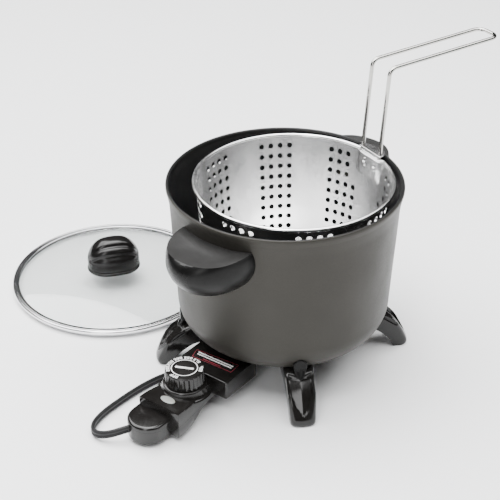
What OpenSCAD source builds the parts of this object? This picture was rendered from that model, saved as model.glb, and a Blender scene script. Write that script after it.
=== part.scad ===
// Electric deep fryer: a cast pot on four legs with a heating element underneath,
// a lift-out perforated basket with a wire handle, a glass lid and a plug-in heat control.
// Millimetres. The origin is on the pot's axis at the height of the worktop.
// -X is the front, where the heat control plugs in, +Y is the cook's left and +Z is up.

/* [Pot] */
// Outer radius of the pot at its rim
rim_r = 118; // [117.5:0.5:119]
// Height of the rim above the worktop
rim_z = 204; // [200:1:208]
// Height of the pot's flat underside above the worktop
base_z = 38; // [38:0.5:39]
// Thickness of the pot wall at the rim
wall_t = 3.5; // [3:0.25:3.5]

/* [Legs] */
// How far the front of each foot stands from the pot's axis
leg_reach = 135; // [132:1:138]
// Width of a leg where it meets the pot
leg_w = 30; // [26:1:31]

/* [Pot handles] */
// Half the width of a grip
grip_r = 43; // [40:1:44]
// How far the tip of a grip stands from the pot's axis
grip_reach = 167.5; // [160:0.5:170]
// Height of the grip's top edge at the pot wall
grip_z = 187; // [184:1:189]

/* [Basket] */
// Outer radius of the rolled rim of the basket
basket_r = 101.5; // [99:0.5:101.5]
// Distance of the basket's axis from the pot's axis, towards the rear
basket_x = 11.5; // [10:0.5:11.5]
// Thickness of the basket wall
basket_t = 1.2; // [0.8:0.1:1.5]
// Diameter of the handle wire
wire_d = 4.2; // [3.6:0.1:4.2]
// Height of the handle's bend above the rim of the basket
handle_rise = 94; // [80:1:110]
// Distance from the basket's axis to the end of the handle
handle_reach = 246; // [200:1:250]

/* [Lid] */
// Outer radius of the lid's metal band
lid_r = 115.8; // [114:0.2:116]
// Height of the knob above the glass
knob_h = 38; // [32:1:42]

/* [Heat control] */
// Radius of the temperature dial
dial_r = 19.2; // [17:0.2:20]
// Length of the thermostat probe in front of the housing
probe_l = 44; // [38:1:44]
// Wall thickness of the plastic housing
shell_t = 2; // [1.5:0.1:2.2]

/* [Power cord] */
// Width of the flat cord
cord_w = 8.6; // [7.6:0.2:8.8]
// Thickness of the flat cord
cord_t = 4.4; // [3.8:0.2:4.6]

/* [Hidden] */

$fn = 96;
eps = 0.01;
fit = 0.05;             // running gap of a shaft in its bore
seat = 0.1;             // gap between two curved faces that sit together

// pot
corner_r = 36;
corner_x = 73;
corner_z = base_z + corner_r;
wall_low_r = corner_x + corner_r;
lip_z = rim_z - 8;
lip_r = rim_r - 2.6;
floor_z = base_z + 5;
lug_z = 160;
boss_x = 78;

// basket
basket_y = -2.6;
basket_az = -20;        // direction of the wire handle
basket_z = floor_z + 0.4;
basket_rim_z = rim_z - 2;
basket_wall_r = basket_r - 3;
basket_low_r = 87;
basket_corner = 26;
notch_x = 93.5;
notch_z = basket_rim_z - 26;
wire_r = wire_d / 2;
wire_x = 96.4;
wire_y = 14;
guide_z = 184;

// lid
lid_x = -9;
lid_y = 232;
glass_t = 4;
dome_rise = 13.5;
glass_r = lid_r - 4.8;
glass_edge_z = 6.5;
dome_r = (glass_r * glass_r + dome_rise * dome_rise) / (2 * dome_rise);
glass_top_z = glass_edge_z + dome_rise;

// heating element
element_r = 50;
element_z = base_z - 4.1;

// heat control
control_y = 13;
seam_z = 18.5;
block_x0 = -122;
block_x1 = -72;
block_half = 32.5;
block_z0 = 16;
block_z1 = 36;
dial_x = -146;
dial_z0 = 40;
dial_z1 = 55;
tail_x = -194;
tail_y = control_y + 6;
tail_r = 21;
tail_z1 = 24;
probe_z = 27;
probe_r = 3;
pin_r = 2;
pin_ys = [control_y - 17, control_y + 17];
pin_x0 = -90;
well_x = -66;
element_az0 = 180 + asin(-pin_ys[0] / element_r);
element_az1 = 180 - asin(pin_ys[1] / element_r);
screw_spots = [[-116, control_y - 25], [-116, control_y + 25], [-178, control_y - 17], [-178, control_y + 17]];

// cord: the line of its centre from the strain relief, under the pot, to the plug
cord_line = [
    [-213, 30, 14], [-219, 35, 12.5], [-225.5, 42, 10], [-229.5, 51, 7.5], [-228.5, 60, 5.8],
    [-222, 67, 5], [-212, 71, 4.8], [-197, 73, 4.6], [-180, 73, 4.5], [-160, 72, 4.5],
    [-140, 69.5, 4.5], [-122, 65, 4.5], [-106, 57.5, 4.5], [-90, 49, 4.5], [-73, 42, 4.5],
    [-54, 38, 4.5], [-34, 35.5, 4.5], [-12, 34, 4.5], [10, 33.3, 4.5], [32, 33, 4.5],
    [54, 33, 4.5], [76, 33, 4.5], [98, 33, 4.5], [120, 33, 4.5], [142, 33, 4.5],
    [164, 33, 4.5], [188, 33, 4.5], [211.8, 33, 4.5]
];
coil_x = 212;
coil_y = 79;
coil_r = 46;
plug_l = 32;

// ---- helpers ----
module at_lid() { translate([lid_x, lid_y, 0]) children(); }

module at_basket() { translate([basket_x, basket_y, 0]) rotate([0, 0, basket_az]) children(); }

// a round bar along +X from x0 to x1
module bar_x(x0, x1, y, z, r) {
    translate([x0, y, z]) rotate([0, 90, 0]) cylinder(r = r, h = x1 - x0);
}

// a straight round bar between two points
module rod(a, b, r) {
    d = b - a;
    l = norm(d);
    translate(a) rotate([0, acos(d[2] / l), atan2(d[1], d[0])]) cylinder(r = r, h = l);
}

// bent round wire that starts along +Z; each step is
// [straight length, turn about its own axis, bend angle, bend radius]
module wire_run(r, steps, i = 0) {
    if (i < len(steps)) {
        s = steps[i];
        z0 = i > 0 ? -0.3 : 0;
        z1 = s[2] > 0 ? s[0] + 0.3 : s[0];
        translate([0, 0, z0]) cylinder(r = r, h = z1 - z0);
        translate([0, 0, s[0]]) rotate([0, 0, s[1]]) {
            if (s[2] > 0) {
                translate([s[3], 0, 0]) rotate([90, 0, 180]) rotate_extrude(angle = s[2])
                    translate([s[3], 0]) circle(r = r + 0.05, $fn = 32);
                translate([s[3] * (1 - cos(s[2])), 0, s[3] * sin(s[2])]) rotate([0, s[2], 0])
                    wire_run(r, steps, i + 1);
            }
        }
    }
}

module slab(z, h) { translate([0, 0, z]) linear_extrude(h) children(); }

module box(x0, x1, y0, y1, z0, z1) {
    translate([x0, y0, z0]) cube([x1 - x0, y1 - y0, z1 - z0]);
}

// pan-head screw with its head at z = 0 and its shank upwards
module screw_up(shank_r, shank_l, head_r, head_h) {
    difference() {
        translate([0, 0, -head_h]) cylinder(r = head_r, h = head_h);
        translate([-head_r, -0.5, -head_h - eps]) cube([2 * head_r, 1, 0.8]);
    }
    translate([0, 0, -eps]) cylinder(r = shank_r, h = shank_l);
}

// ---- pot ----
// half section of the pot's outside, solid to the axis, grown by g
module pot_outside_2d(g = 0) {
    polygon([
        [0, base_z - g], [corner_x, base_z - g], [corner_x, corner_z], [wall_low_r + g, corner_z],
        [lip_r + g, lip_z - g], [rim_r + g, lip_z + 2 - g], [rim_r + g, rim_z + g], [0, rim_z + g]
    ]);
    intersection() {
        translate([corner_x, corner_z]) circle(r = corner_r + g);
        translate([corner_x - eps, base_z - g]) square([corner_r + g + eps, corner_r + g]);
    }
}

module pot_inside_2d() {
    inner_r = 31;
    mouth_r = rim_r - wall_t;
    polygon([
        [0, floor_z], [corner_x, floor_z], [corner_x, corner_z], [corner_x + inner_r, corner_z],
        [mouth_r - 1.6, lip_z], [mouth_r, lip_z + 3], [mouth_r, rim_z + 1], [0, rim_z + 1]
    ]);
    intersection() {
        translate([corner_x, corner_z]) circle(r = inner_r);
        translate([corner_x - eps, floor_z]) square([inner_r + eps, inner_r]);
    }
}

module handle_lug(side) {
    difference() {
        box(side > 0 ? 106 : -129, side > 0 ? 129 : -106, -8, 8, lug_z, lug_z + 11);
        rotate_extrude() pot_inside_2d();
        translate([side * 121, 0, lug_z - 1]) cylinder(r = 2 + fit, h = 9);
    }
}

module pot() {
    color("#35342f") difference() {
        union() {
            rotate_extrude() pot_outside_2d();
            for (a = [45:90:315]) rotate([0, 0, a]) translate([boss_x, 0, 34]) cylinder(r = 6.5, h = 6);
        }
        rotate_extrude() pot_inside_2d();
        for (a = [45:90:315])
            rotate([0, 0, a]) translate([boss_x, 0, 33]) cylinder(r = 2 + fit, h = 8.4);
        for (y = [control_y - 19, control_y + 19]) translate([-61, y, 33]) cylinder(r = 1.5 + fit, h = 8.4);
    }
    color("#35342f") for (side = [-1, 1]) handle_lug(side);
}

// half section across a grip
module grip_2d() {
    z = grip_z - 6;
    polygon([[-eps, z], [grip_r, z], [grip_r - 3, z + 3], [grip_r - 9, grip_z], [-eps, grip_z]]);
    intersection() {
        translate([grip_r - 45, z]) circle(r = 45);
        translate([-eps, z - 60]) square([60, 60 + eps]);
    }
}

// rounded grip on the side of the pot, with a thumb rest across its top
module handle(side) {
    tip_x = grip_reach - grip_r;
    color("#1b1b1b") rotate([0, 0, side > 0 ? 0 : 180]) difference() {
        intersection() {
            union() {
                translate([tip_x, 0, 0]) rotate_extrude() intersection() {
                    grip_2d();
                    translate([0, 100]) square([60, 100]);
                }
                translate([90, 0, 0]) rotate([90, 0, 90]) linear_extrude(tip_x - 90) {
                    grip_2d();
                    mirror([1, 0]) grip_2d();
                }
            }
            rotate([90, 0, 0]) translate([0, 0, -60]) linear_extrude(120) polygon([
                [90, 100], [175, 100], [175, grip_z - 14], [167, grip_z - 11], [162, grip_z - 5],
                [154.5, grip_z - 1], [148, grip_z - 0.5], [112, grip_z], [90, grip_z]
            ]);
        }
        rotate_extrude() pot_outside_2d(seat);
        box(100, 129 + seat, -8 - seat, 8 + seat, lug_z - seat, lug_z + 11 + seat);
        translate([121, 0, 100]) cylinder(r = 2.2, h = lug_z - 100);
        translate([121, 0, 100]) cylinder(r = 4.6, h = lug_z - 106);
    }
}

module handle_front() { handle(-1); }
module handle_rear() { handle(1); }

module handle_screws() {
    color("silver") for (side = [-1, 1])
        translate([side * 121, 0, lug_z - 6]) screw_up(2, 13, 4, 2.4);
}

// ---- legs ----
module leg(az) {
    color("#161616") rotate([0, 0, az]) difference() {
        union() {
            intersection() {
                rotate([90, 0, 0]) translate([0, 0, -20]) linear_extrude(40) polygon([
                    [leg_reach - 35, 46.3], [leg_reach - 29, 43.2], [leg_reach - 23, 38.7],
                    [leg_reach - 17, 33.4], [leg_reach - 12, 27.6], [leg_reach - 7.5, 20.6],
                    [leg_reach - 4, 14], [leg_reach - 1.3, 8], [leg_reach - 0.4, 5], [leg_reach - 1, 2],
                    [leg_reach - 3.5, 0], [leg_reach - 14.5, 0], [leg_reach - 15.5, 2],
                    [leg_reach - 18, 5.5], [leg_reach - 21.5, 10], [leg_reach - 25, 13.8],
                    [leg_reach - 29, 17.4], [leg_reach - 36, 22.5], [leg_reach - 43, 25.5], [84, 27],
                    [66, 28], [66, 44], [90, 49]
                ]);
                rotate([90, 0, 90]) translate([0, 0, 60]) linear_extrude(80) polygon([
                    [-leg_w / 2 + 2.5, 0], [leg_w / 2 - 2.5, 0], [leg_w / 2, 50], [-leg_w / 2, 50]
                ]);
                translate([leg_reach - 60, 0, 0]) union() {
                    translate([33, 0, 0]) cylinder(r = 27, h = 60);
                    box(-40, 40, -20, 20, 0, 60);
                }
            }
            bar_x(92, leg_reach - 27.2, 0, 54.5, 7.3);
            box(92, leg_reach - 27.2, -7.3, 7.3, 38, 54.5);
        }
        rotate_extrude() pot_outside_2d(seat);
        translate([boss_x, 0, 34 - seat]) cylinder(r = 6.5 + seat, h = 8);
        translate([boss_x, 0, 20]) cylinder(r = 2.2, h = 20);
        translate([boss_x, 0, 20]) cylinder(r = 4.6, h = 9.5);
    }
}

module leg_front_left() { leg(135); }
module leg_front_right() { leg(225); }
module leg_rear_left() { leg(45); }
module leg_rear_right() { leg(315); }

module leg_screws() {
    color("silver") for (a = [45:90:315])
        rotate([0, 0, a]) translate([boss_x, 0, 29.4]) screw_up(2, 11.6, 4, 2.2);
}

// ---- heating element and its terminals, under the pot ----
module heating_element() {
    color("#6b6b68") {
        translate([0, 0, element_z]) rotate([0, 0, element_az0])
            rotate_extrude(angle = 360 + element_az1 - element_az0) translate([element_r, 0]) circle(r = 4);
        for (y = pin_ys) {
            rod([-sqrt(element_r * element_r - y * y), y, element_z], [-58, y, probe_z], 3.5);
            bar_x(well_x + 2, -55, y, probe_z, 4.3);
        }
    }
}

module terminal_insulators() {
    color("white") for (y = pin_ys) difference() {
        bar_x(-72, -64.2, y, probe_z, 4.6);
        bar_x(-73, -63, y, probe_z, pin_r + fit);
    }
}

module terminal_pins() {
    color("silver") for (y = pin_ys) {
        bar_x(pin_x0 + 1, -64.1, y, probe_z, pin_r);
        translate([pin_x0 + 1, y, probe_z]) sphere(r = pin_r, $fn = 48);
    }
}

module probe_well() {
    color("#8b8c8e") difference() {
        box(well_x, -18, control_y - 7, control_y + 7, 19.5, base_z);
        bar_x(well_x - 1, well_x + 46, control_y, probe_z, probe_r + fit);
    }
}

module terminal_guard() {
    y0 = control_y - 22.5;
    y1 = control_y + 22.5;
    color("#a3a5a8") difference() {
        union() {
            difference() {
                box(-96, -66.2, y0, y1, 19.5, 34);
                box(-97, -68, y0 + 1.2, y1 - 1.2, 20.7, 32.8);
            }
            box(-68, -66.2, y0, y1, 33, base_z);
            box(-68, -56, y0, y1, base_z - 1.2, base_z);
        }
        box(-69, -65, control_y - 5, control_y + 5, 22, 32);
        box(-66.1, -50, control_y - 7.2, control_y + 7.2, 36, 39);
        for (y = pin_ys) bar_x(-72.3, -65, y, probe_z, 4.6 + fit);
        for (y = [control_y - 19, control_y + 19]) translate([-61, y, 30]) cylinder(r = 1.7, h = 9);
    }
}

module guard_screws() {
    color("silver") for (y = [control_y - 19, control_y + 19])
        translate([-61, y, base_z - 1.2]) screw_up(1.5, 3.8, 2.8, 1.4);
}

// ---- basket ----
module basket_shell_2d(inset) {
    c = basket_corner - inset;
    x = basket_low_r - basket_corner;
    z = basket_z + basket_corner;
    top = basket_rim_z + (inset > 0 ? 5 : 0);
    polygon([[0, z - c], [x, z - c], [x, z], [x + c, z], [basket_wall_r - inset, top], [0, top]]);
    intersection() {
        translate([x, z]) circle(r = c);
        translate([x - eps, z - c]) square([c + eps, c]);
    }
}

module basket() {
    color("#c9cbce") at_basket() difference() {
        union() {
            difference() {
                union() {
                    rotate_extrude() basket_shell_2d(0);
                    translate([0, 0, basket_rim_z - 2]) rotate_extrude()
                        translate([basket_r - 2, 0]) circle(r = 2, $fn = 32);
                }
                rotate_extrude() basket_shell_2d(basket_t);
                box(notch_x, 120, -17, 17, notch_z, basket_rim_z + 10);
            }
            // flat panel and small shelf that close the notch
            intersection() {
                rotate_extrude() basket_shell_2d(0);
                union() {
                    box(notch_x - basket_t, notch_x, -17 - basket_t, 17 + basket_t, notch_z - 1, basket_rim_z);
                    box(notch_x - basket_t, 110, -17 - basket_t, 17 + basket_t, notch_z - basket_t, notch_z);
                    for (s = [-1, 1]) translate([notch_x - basket_t, s * 17 + (s < 0 ? -basket_t : 0), notch_z - 1])
                        cube([20, basket_t, basket_rim_z - notch_z + 1]);
                }
            }
        }
        for (y = [-8, 8], z = [188.7, 197]) bar_x(80, 110, y, z, 1.5 + fit);
    }
}

// riveted bracket: two guides for the handle wires and a tongue that can rest on the pot's rim
module basket_hook() {
    top_z = rim_z + 0.8;
    color("#d5d7da") difference() {
        union() {
            at_basket() box(notch_x + seat, notch_x + 1.4, -13, 13, guide_z, top_z + 1.4);
            intersection() {
                at_basket() box(notch_x + seat, 101, -16.8, 16.8, guide_z, guide_z + 1.4);
                cylinder(r = 111, h = 300);
            }
            at_basket() slab(top_z, 1.4) polygon([
                [notch_x + seat, -17], [99.5, -17], [105.6, -9.5], [105.6, 9.5], [99.5, 17], [notch_x + seat, 17]
            ]);
        }
        at_basket() {
            for (s = [-1, 1]) translate([wire_x, s * wire_y, guide_z - 1]) cylinder(r = wire_r + seat, h = 40);
            for (y = [-8, 8], z = [188.7, 197]) bar_x(80, 100, y, z, 1.5 + fit);
        }
    }
}

module basket_rivets() {
    color("#e0e2e4") at_basket() for (y = [-8, 8], z = [188.7, 197]) {
        bar_x(notch_x - basket_t - 1, notch_x + 2.2, y, z, 1.5);
        bar_x(notch_x - basket_t - 1, notch_x - basket_t, y, z, 2.8);
        bar_x(notch_x + 1.4, notch_x + 2.4, y, z, 2.8);
    }
}

// U-shaped wire: two legs up from the bracket, then a long run outwards
module basket_handle() {
    foot_z = guide_z + 0.4;
    leg_l = rim_z + 6 - foot_z;
    lean = 4.3;
    rise = 1.2;
    turn_r = 9;
    tuck = 8 * tan((90 - lean - rise) / 2);
    arm_l = (basket_rim_z + handle_rise + 3 - rim_z - 6 - 20 * sin(lean)) / cos(lean) - tuck;
    corner_u = wire_x + 20 * (1 - cos(lean)) + (arm_l + tuck) * sin(lean);
    run_l = (handle_reach - wire_r - turn_r - corner_u) / cos(rise) - tuck;
    color("#d9dbde") at_basket() translate([wire_x, wire_y, foot_z]) wire_run(wire_r, [
        [leg_l, 0, lean, 20], [arm_l, 0, 90 - lean - rise, 8], [run_l, -90, 90, turn_r],
        [2 * (wire_y - turn_r), 0, 90, turn_r], [run_l, 90, 90 - lean - rise, 8],
        [arm_l, 0, lean, 20], [leg_l, 0, 0, 0]
    ]);
}

// ---- lid ----
module lid_glass() {
    color([0.85, 0.9, 0.9, 0.35]) at_lid() difference() {
        intersection() {
            translate([0, 0, glass_top_z - dome_r]) rotate_extrude()
                intersection() {
                    difference() {
                        circle(r = dome_r, $fn = 360);
                        circle(r = dome_r - glass_t, $fn = 360);
                    }
                    translate([0, dome_r - 40]) square([glass_r, 50]);
                }
            cylinder(r = glass_r, h = 60);
        }
        translate([0, 0, -1]) cylinder(r = 3, h = 60);
    }
}

module lid_rim() {
    r = lid_r;
    color("#cfd2d6") at_lid() rotate_extrude() polygon([
        [r - 7.3, 0.8], [r - 5.8, 0], [r - 3.2, 0], [r - 3.2, 4], [r, 4], [r, 8], [r - 0.8, 8.8],
        [r - 7.3, 8.8], [r - 7.3, 7.9], [r - 4.5, 7.9], [r - 4.5, 1.6], [r - 7.3, 1.6]
    ]);
}

// oval grip on a wider oval foot
module lid_knob() {
    z0 = glass_top_z + 0.3;
    top = glass_top_z + knob_h;
    color("#111111") at_lid() rotate([0, 0, -38]) difference() {
        union() {
            for (s = [-1, 1]) translate([s * 6, 0, z0]) cylinder(r = 22.5, h = 3.4);
            box(-6, 6, -22.5, 22.5, z0, z0 + 3.4);
            intersection() {
                box(-30, 30, -24, 24, z0 + 2, top + 1);
                translate([-40, 0, top - 21]) rotate([0, 90, 0]) cylinder(r = 21, h = 80);
                translate([0, 40, top - 30]) rotate([90, 0, 0]) cylinder(r = 30, h = 80);
                translate([0, 0, z0]) cylinder(r = 27.5, h = 50);
            }
        }
        translate([0, 0, z0 - 1]) cylinder(r = 2 + fit, h = 20);
    }
}

module lid_knob_screw() {
    color("silver") at_lid() translate([0, 0, glass_top_z - glass_t - 1.5]) screw_up(2, 20, 4, 2.4);
}

module lid_knob_washer() {
    color("#222222") at_lid() translate([0, 0, glass_top_z - glass_t - 1.45]) difference() {
        cylinder(r = 7, h = 1.2);
        translate([0, 0, -1]) cylinder(r = 2 + fit, h = 4);
    }
}

// ---- heat control ----
// plan outline of the middle of the housing, shrunk by i
module middle_plan_2d(i) {
    polygon([
        [block_x0 + 4, control_y - 20 + i], [-137, control_y - 21 + i], [-152, control_y - 22 + i],
        [-166, control_y - 23.5 + i], [-186 + i, control_y - 25 + i], [-186 + i, control_y + 25 - i],
        [-166, control_y + 23.5 - i], [-152, control_y + 22 - i], [-137, control_y + 21 - i],
        [block_x0 + 4, control_y + 20 - i]
    ]);
}

// side outline of the middle of the housing, shrunk by i
module middle_side_2d(i) {
    polygon([
        [block_x0 + 4, block_z0 + i], [-136, block_z0 + i], [-148, 14 + i], [-156, 9 + i], [-164, 6 + i],
        [-174, 5 + i], [-186, 5 + i], [-186, 34.5 - i], [-170, 35 - i], [-128, 33 - i], [block_x0 + 4, 32 - i]
    ]);
}

// outside of the whole housing, shrunk by i
module control_solid(i) {
    rotate([90, 0, 0]) translate([0, 0, -control_y - block_half + i]) linear_extrude(2 * (block_half - i)) polygon([
        [block_x0 + i, block_z0 + i], [block_x1 - i, block_z0 + i], [block_x1 - i, 29],
        [block_x1 - 3, 33 - i], [block_x1 - 8, block_z1 - i], [block_x0 + i, block_z1 - i]
    ]);
    intersection() {
        linear_extrude(60) middle_plan_2d(i);
        rotate([90, 0, 0]) translate([0, 0, -60]) linear_extrude(120) middle_side_2d(i);
    }
    translate([dial_x, control_y, 30]) cylinder(r1 = 25 - i, r2 = 21.5 - i, h = 9.4 - i);
    translate([tail_x, tail_y, 4 + i]) cylinder(r = tail_r - i, h = tail_z1 - 4 - 2 * i);
    box(tail_x, -182, tail_y - tail_r + i, tail_y + tail_r - i, 4 + i, tail_z1 - i);
}

// the front socket that goes over the terminal guard
module dock_space() {
    box(-100, block_x1 + 1, control_y - block_half + 3, control_y + block_half - 3, 18.5, 34.5);
}

module cord_hole(r) {
    translate([-205, 25.5, 14]) rotate([0, 90, 150]) cylinder(r = r, h = 30);
}

module control_upper_housing() {
    color("#151515") difference() {
        union() {
            intersection() {
                difference() {
                    control_solid(0);
                    control_solid(shell_t);
                    dock_space();
                }
                box(-240, -60, -60, 80, seam_z, 60);
            }
            box(-104, -100, control_y - 30, control_y + 30, 19, 35);
            intersection() {
                union() {
                    for (p = screw_spots) translate([p[0], p[1], seam_z]) cylinder(r = 3.6, h = 30);
                    translate([dial_x, control_y, 32]) cylinder(r = 6, h = 6);
                }
                control_solid(1);
            }
        }
        translate([dial_x, control_y, 20]) cylinder(r = 3 + fit, h = 30);
        bar_x(-110, -95, control_y, probe_z, probe_r + seat);
        for (y = pin_ys) bar_x(-110, -95, y, probe_z, 3.5 + seat);
        for (p = screw_spots) translate([p[0], p[1], seam_z - 1]) cylinder(r = 1.5 + fit, h = 9);
        translate([-175, 10.5, 25]) cylinder(r = 6 + seat, h = 20);
        cord_hole(5.6);
    }
}

module control_lower_housing() {
    color("#1a1a1a") difference() {
        union() {
            intersection() {
                difference() {
                    control_solid(0);
                    control_solid(shell_t);
                    dock_space();
                }
                box(-240, -60, -60, 80, 0, seam_z);
            }
            intersection() {
                for (p = screw_spots) translate([p[0], p[1], 0]) cylinder(r = 4.6, h = seam_z);
                control_solid(1);
            }
        }
        for (p = screw_spots) translate([p[0], p[1], 0]) {
            cylinder(r = 1.7, h = 30);
            cylinder(r = 3.1, h = seam_z - 1.4);
        }
        cord_hole(5.6);
    }
}

module housing_screws() {
    color("silver") for (p = screw_spots)
        translate([p[0], p[1], seam_z - 1.4]) screw_up(1.5, 8.5, 2.8, 1.1);
}

module thermostat_probe() {
    tip_x = block_x1 + probe_l + 4;
    color("#b9bcc0") {
        bar_x(-124, tip_x - probe_r, control_y, probe_z, probe_r);
        translate([tip_x - probe_r, control_y, probe_z]) sphere(r = probe_r, $fn = 48);
    }
}

module thermostat_frame() {
    color("#9a9da1") difference() {
        union() {
            box(-172, -124.2, control_y - 8, control_y + 8, 20.4, 21.6);
            box(-125.4, -124.2, control_y - 8, control_y + 8, 21, 29.6);
        }
        for (x = [-168, -134]) translate([x, control_y, 19]) cylinder(r = 1.8, h = 4);
    }
}

module terminal_contacts() {
    color("#c9a45c") for (y = pin_ys) difference() {
        bar_x(-116, -78, y, probe_z, 3.5);
        bar_x(-98, -77, y, probe_z, pin_r + fit);
    }
}

module thermostat_blades() {
    color("#c07a45") {
        box(-168, -128, control_y - 3.5, control_y + 3.5, 24.4, 25);
        box(-168, -140, control_y - 3.5, control_y + 3.5, 27.4, 28);
        translate([-132, control_y, 24.9]) cylinder(r = 1.5, h = 1.2);
    }
}

module insulator_stack() {
    color("#efe9dc") for (z = [[21.7, 24.3], [25.1, 27.3], [28.1, 30]])
        translate([-165, control_y, z[0]]) cylinder(r = 3.4, h = z[1] - z[0]);
}

module lead_wires() {
    color("#eeeeee") for (s = [-1, 1])
        translate([-117.3, control_y - s * 17, probe_z]) rotate([0, 0, 180 - s * 35]) rotate([0, 90, 0])
            wire_run(1.4, [[9.4, s * 90, 35, 6], [30.5, -s * 90, 45, 6], [13.4, 180, 45, 6], [16, 0, 0, 0]]);
}

module pilot_lamp() {
    color("#ffb070") translate([-175, 10.5, 24]) cylinder(r = 2.4, h = 8);
}

module pilot_lens() {
    color("#d8d2c4") translate([-175, 10.5, 32.4]) cylinder(r = 6, h = 3);
}

module label_plate() {
    color("#3a1518") box(-108, -90, control_y - 27, control_y + 27.5, block_z1 + fit, block_z1 + 0.45);
}

module strain_relief() {
    color("#191919") difference() {
        union() {
            translate([-199.3, 22.2, 14]) rotate([0, 90, 150]) cylinder(r = 5.4, h = 14);
            translate([-202, 23.8, 14]) rotate([0, 90, 150]) cylinder(r = 7.2, h = 1.6);
        }
        translate([-190, 16.8, 14]) rotate([0, 90, 150]) cylinder(r = 1.2, h = 10);
    }
}

// ---- dial ----
module dial_knob() {
    color("#121212") translate([dial_x, control_y, 0]) difference() {
        translate([0, 0, dial_z0]) cylinder(r1 = dial_r + 0.6, r2 = dial_r, h = dial_z1 - dial_z0 - 0.6);
        translate([0, 0, dial_z0 - 1]) difference() {
            cylinder(r = dial_r - 2.4, h = 10);
            cylinder(r = 6, h = 11);
        }
        translate([0, 0, dial_z0 - 1]) cylinder(r = 3 + fit, h = 12);
        for (a = [0:15:345]) rotate([0, 0, a]) translate([dial_r + 1.4, 0, dial_z0 - 1]) cylinder(r = 1.6, h = 10);
    }
}

module dial_plate() {
    color("#0d0d0d") translate([dial_x, control_y, dial_z1 - 0.55]) cylinder(r = dial_r - 0.6, h = 0.55);
}

module dial_shaft() {
    color("silver") translate([dial_x, control_y, 0]) {
        translate([0, 0, 28.4]) cylinder(r = 3, h = dial_z0 + 10.6 - 28.4);
        translate([0, 0, 28.4]) cylinder(r = 5, h = 1.6);
    }
}

// ---- power cord, plain solids ----
// direction of the line at point i, level with the worktop
function heading(p, i) =
    let (a = p[max(i - 1, 0)], b = p[min(i + 1, len(p) - 1)]) atan2(b[1] - a[1], b[0] - a[0]);

// eight-sided flat section on edge, at point i
function ring(p, i) = [
    for (k = [0:7])
        let (q = 22.5 + 45 * k, h = heading(p, i))
            p[i] + [-sin(h) * cord_t / 2 * cos(q) * 1.05, cos(h) * cord_t / 2 * cos(q) * 1.05, cord_w / 2 * sin(q) * 1.05]
];

module flat_tube(p) {
    n = len(p);
    polyhedron(
        points = [for (i = [0:n - 1]) each ring(p, i)],
        faces = concat(
            [[for (k = [0:7]) k]],
            [for (i = [0:n - 2], k = [0:7]) let (a = 8 * i + k, b = 8 * i + (k + 1) % 8) [a, a + 8, b + 8, b]],
            [[for (k = [7:-1:0]) 8 * (n - 1) + k]]
        )
    );
}

module power_cord() {
    color("#202020") flat_tube(cord_line);
}

// the last stretch of the cord, turned back on itself in a half circle
module cord_coil() {
    color("#202020") translate([coil_x, coil_y, 0.2]) rotate([0, 0, -90]) rotate_extrude(angle = 180)
        translate([coil_r - cord_t / 2, 0]) square([cord_t, cord_w]);
}

module plug_body() {
    y = coil_y + coil_r;
    color("#1c1c1c") difference() {
        union() {
            box(coil_x - 14 - plug_l, coil_x - 14, y - 11, y + 11, 0, 17);
            translate([coil_x - 14.2, y, 5.2]) rotate([0, 90, 0]) cylinder(r1 = 5.2, r2 = 4.6, h = 14);
        }
        for (s = [-1, 1]) box(coil_x - 17 - plug_l, coil_x - 36, y + s * 6.35 - 0.9, y + s * 6.35 + 0.9, 5, 12);
    }
}

module plug_blades() {
    y = coil_y + coil_r;
    color("#c9b27a") for (s = [-1, 1])
        box(coil_x - 14 - plug_l - 16, coil_x - 36.2, y + s * 6.35 - 0.75, y + s * 6.35 + 0.75, 5.3, 11.7);
}

pot();
handle_front();
handle_rear();
handle_screws();
leg_front_left();
leg_front_right();
leg_rear_left();
leg_rear_right();
leg_screws();
heating_element();
terminal_insulators();
terminal_pins();
probe_well();
terminal_guard();
guard_screws();
basket();
basket_hook();
basket_rivets();
basket_handle();
lid_glass();
lid_rim();
lid_knob();
lid_knob_screw();
lid_knob_washer();
control_upper_housing();
control_lower_housing();
housing_screws();
thermostat_probe();
thermostat_frame();
terminal_contacts();
thermostat_blades();
insulator_stack();
lead_wires();
pilot_lamp();
pilot_lens();
label_plate();
strain_relief();
dial_knob();
dial_plate();
dial_shaft();
power_cord();
cord_coil();
plug_body();
plug_blades();
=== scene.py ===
import bmesh
import bpy
import math
from math import cos, pi, radians, sin, sqrt
from mathutils import Matrix, Vector, geometry


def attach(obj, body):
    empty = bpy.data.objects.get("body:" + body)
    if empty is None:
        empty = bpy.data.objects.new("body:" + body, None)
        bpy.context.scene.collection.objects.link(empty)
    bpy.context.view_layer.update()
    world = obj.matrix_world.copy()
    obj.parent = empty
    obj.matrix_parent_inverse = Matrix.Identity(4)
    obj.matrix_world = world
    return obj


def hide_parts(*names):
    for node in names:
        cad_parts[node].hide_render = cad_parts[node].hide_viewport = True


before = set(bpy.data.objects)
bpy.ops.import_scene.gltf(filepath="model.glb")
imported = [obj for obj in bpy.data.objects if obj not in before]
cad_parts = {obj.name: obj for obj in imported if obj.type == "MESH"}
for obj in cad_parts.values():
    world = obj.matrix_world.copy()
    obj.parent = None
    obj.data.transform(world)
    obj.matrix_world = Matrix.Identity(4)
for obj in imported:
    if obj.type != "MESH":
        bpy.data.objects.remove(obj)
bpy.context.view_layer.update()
MM = 0.001
scene = bpy.context.scene


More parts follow.
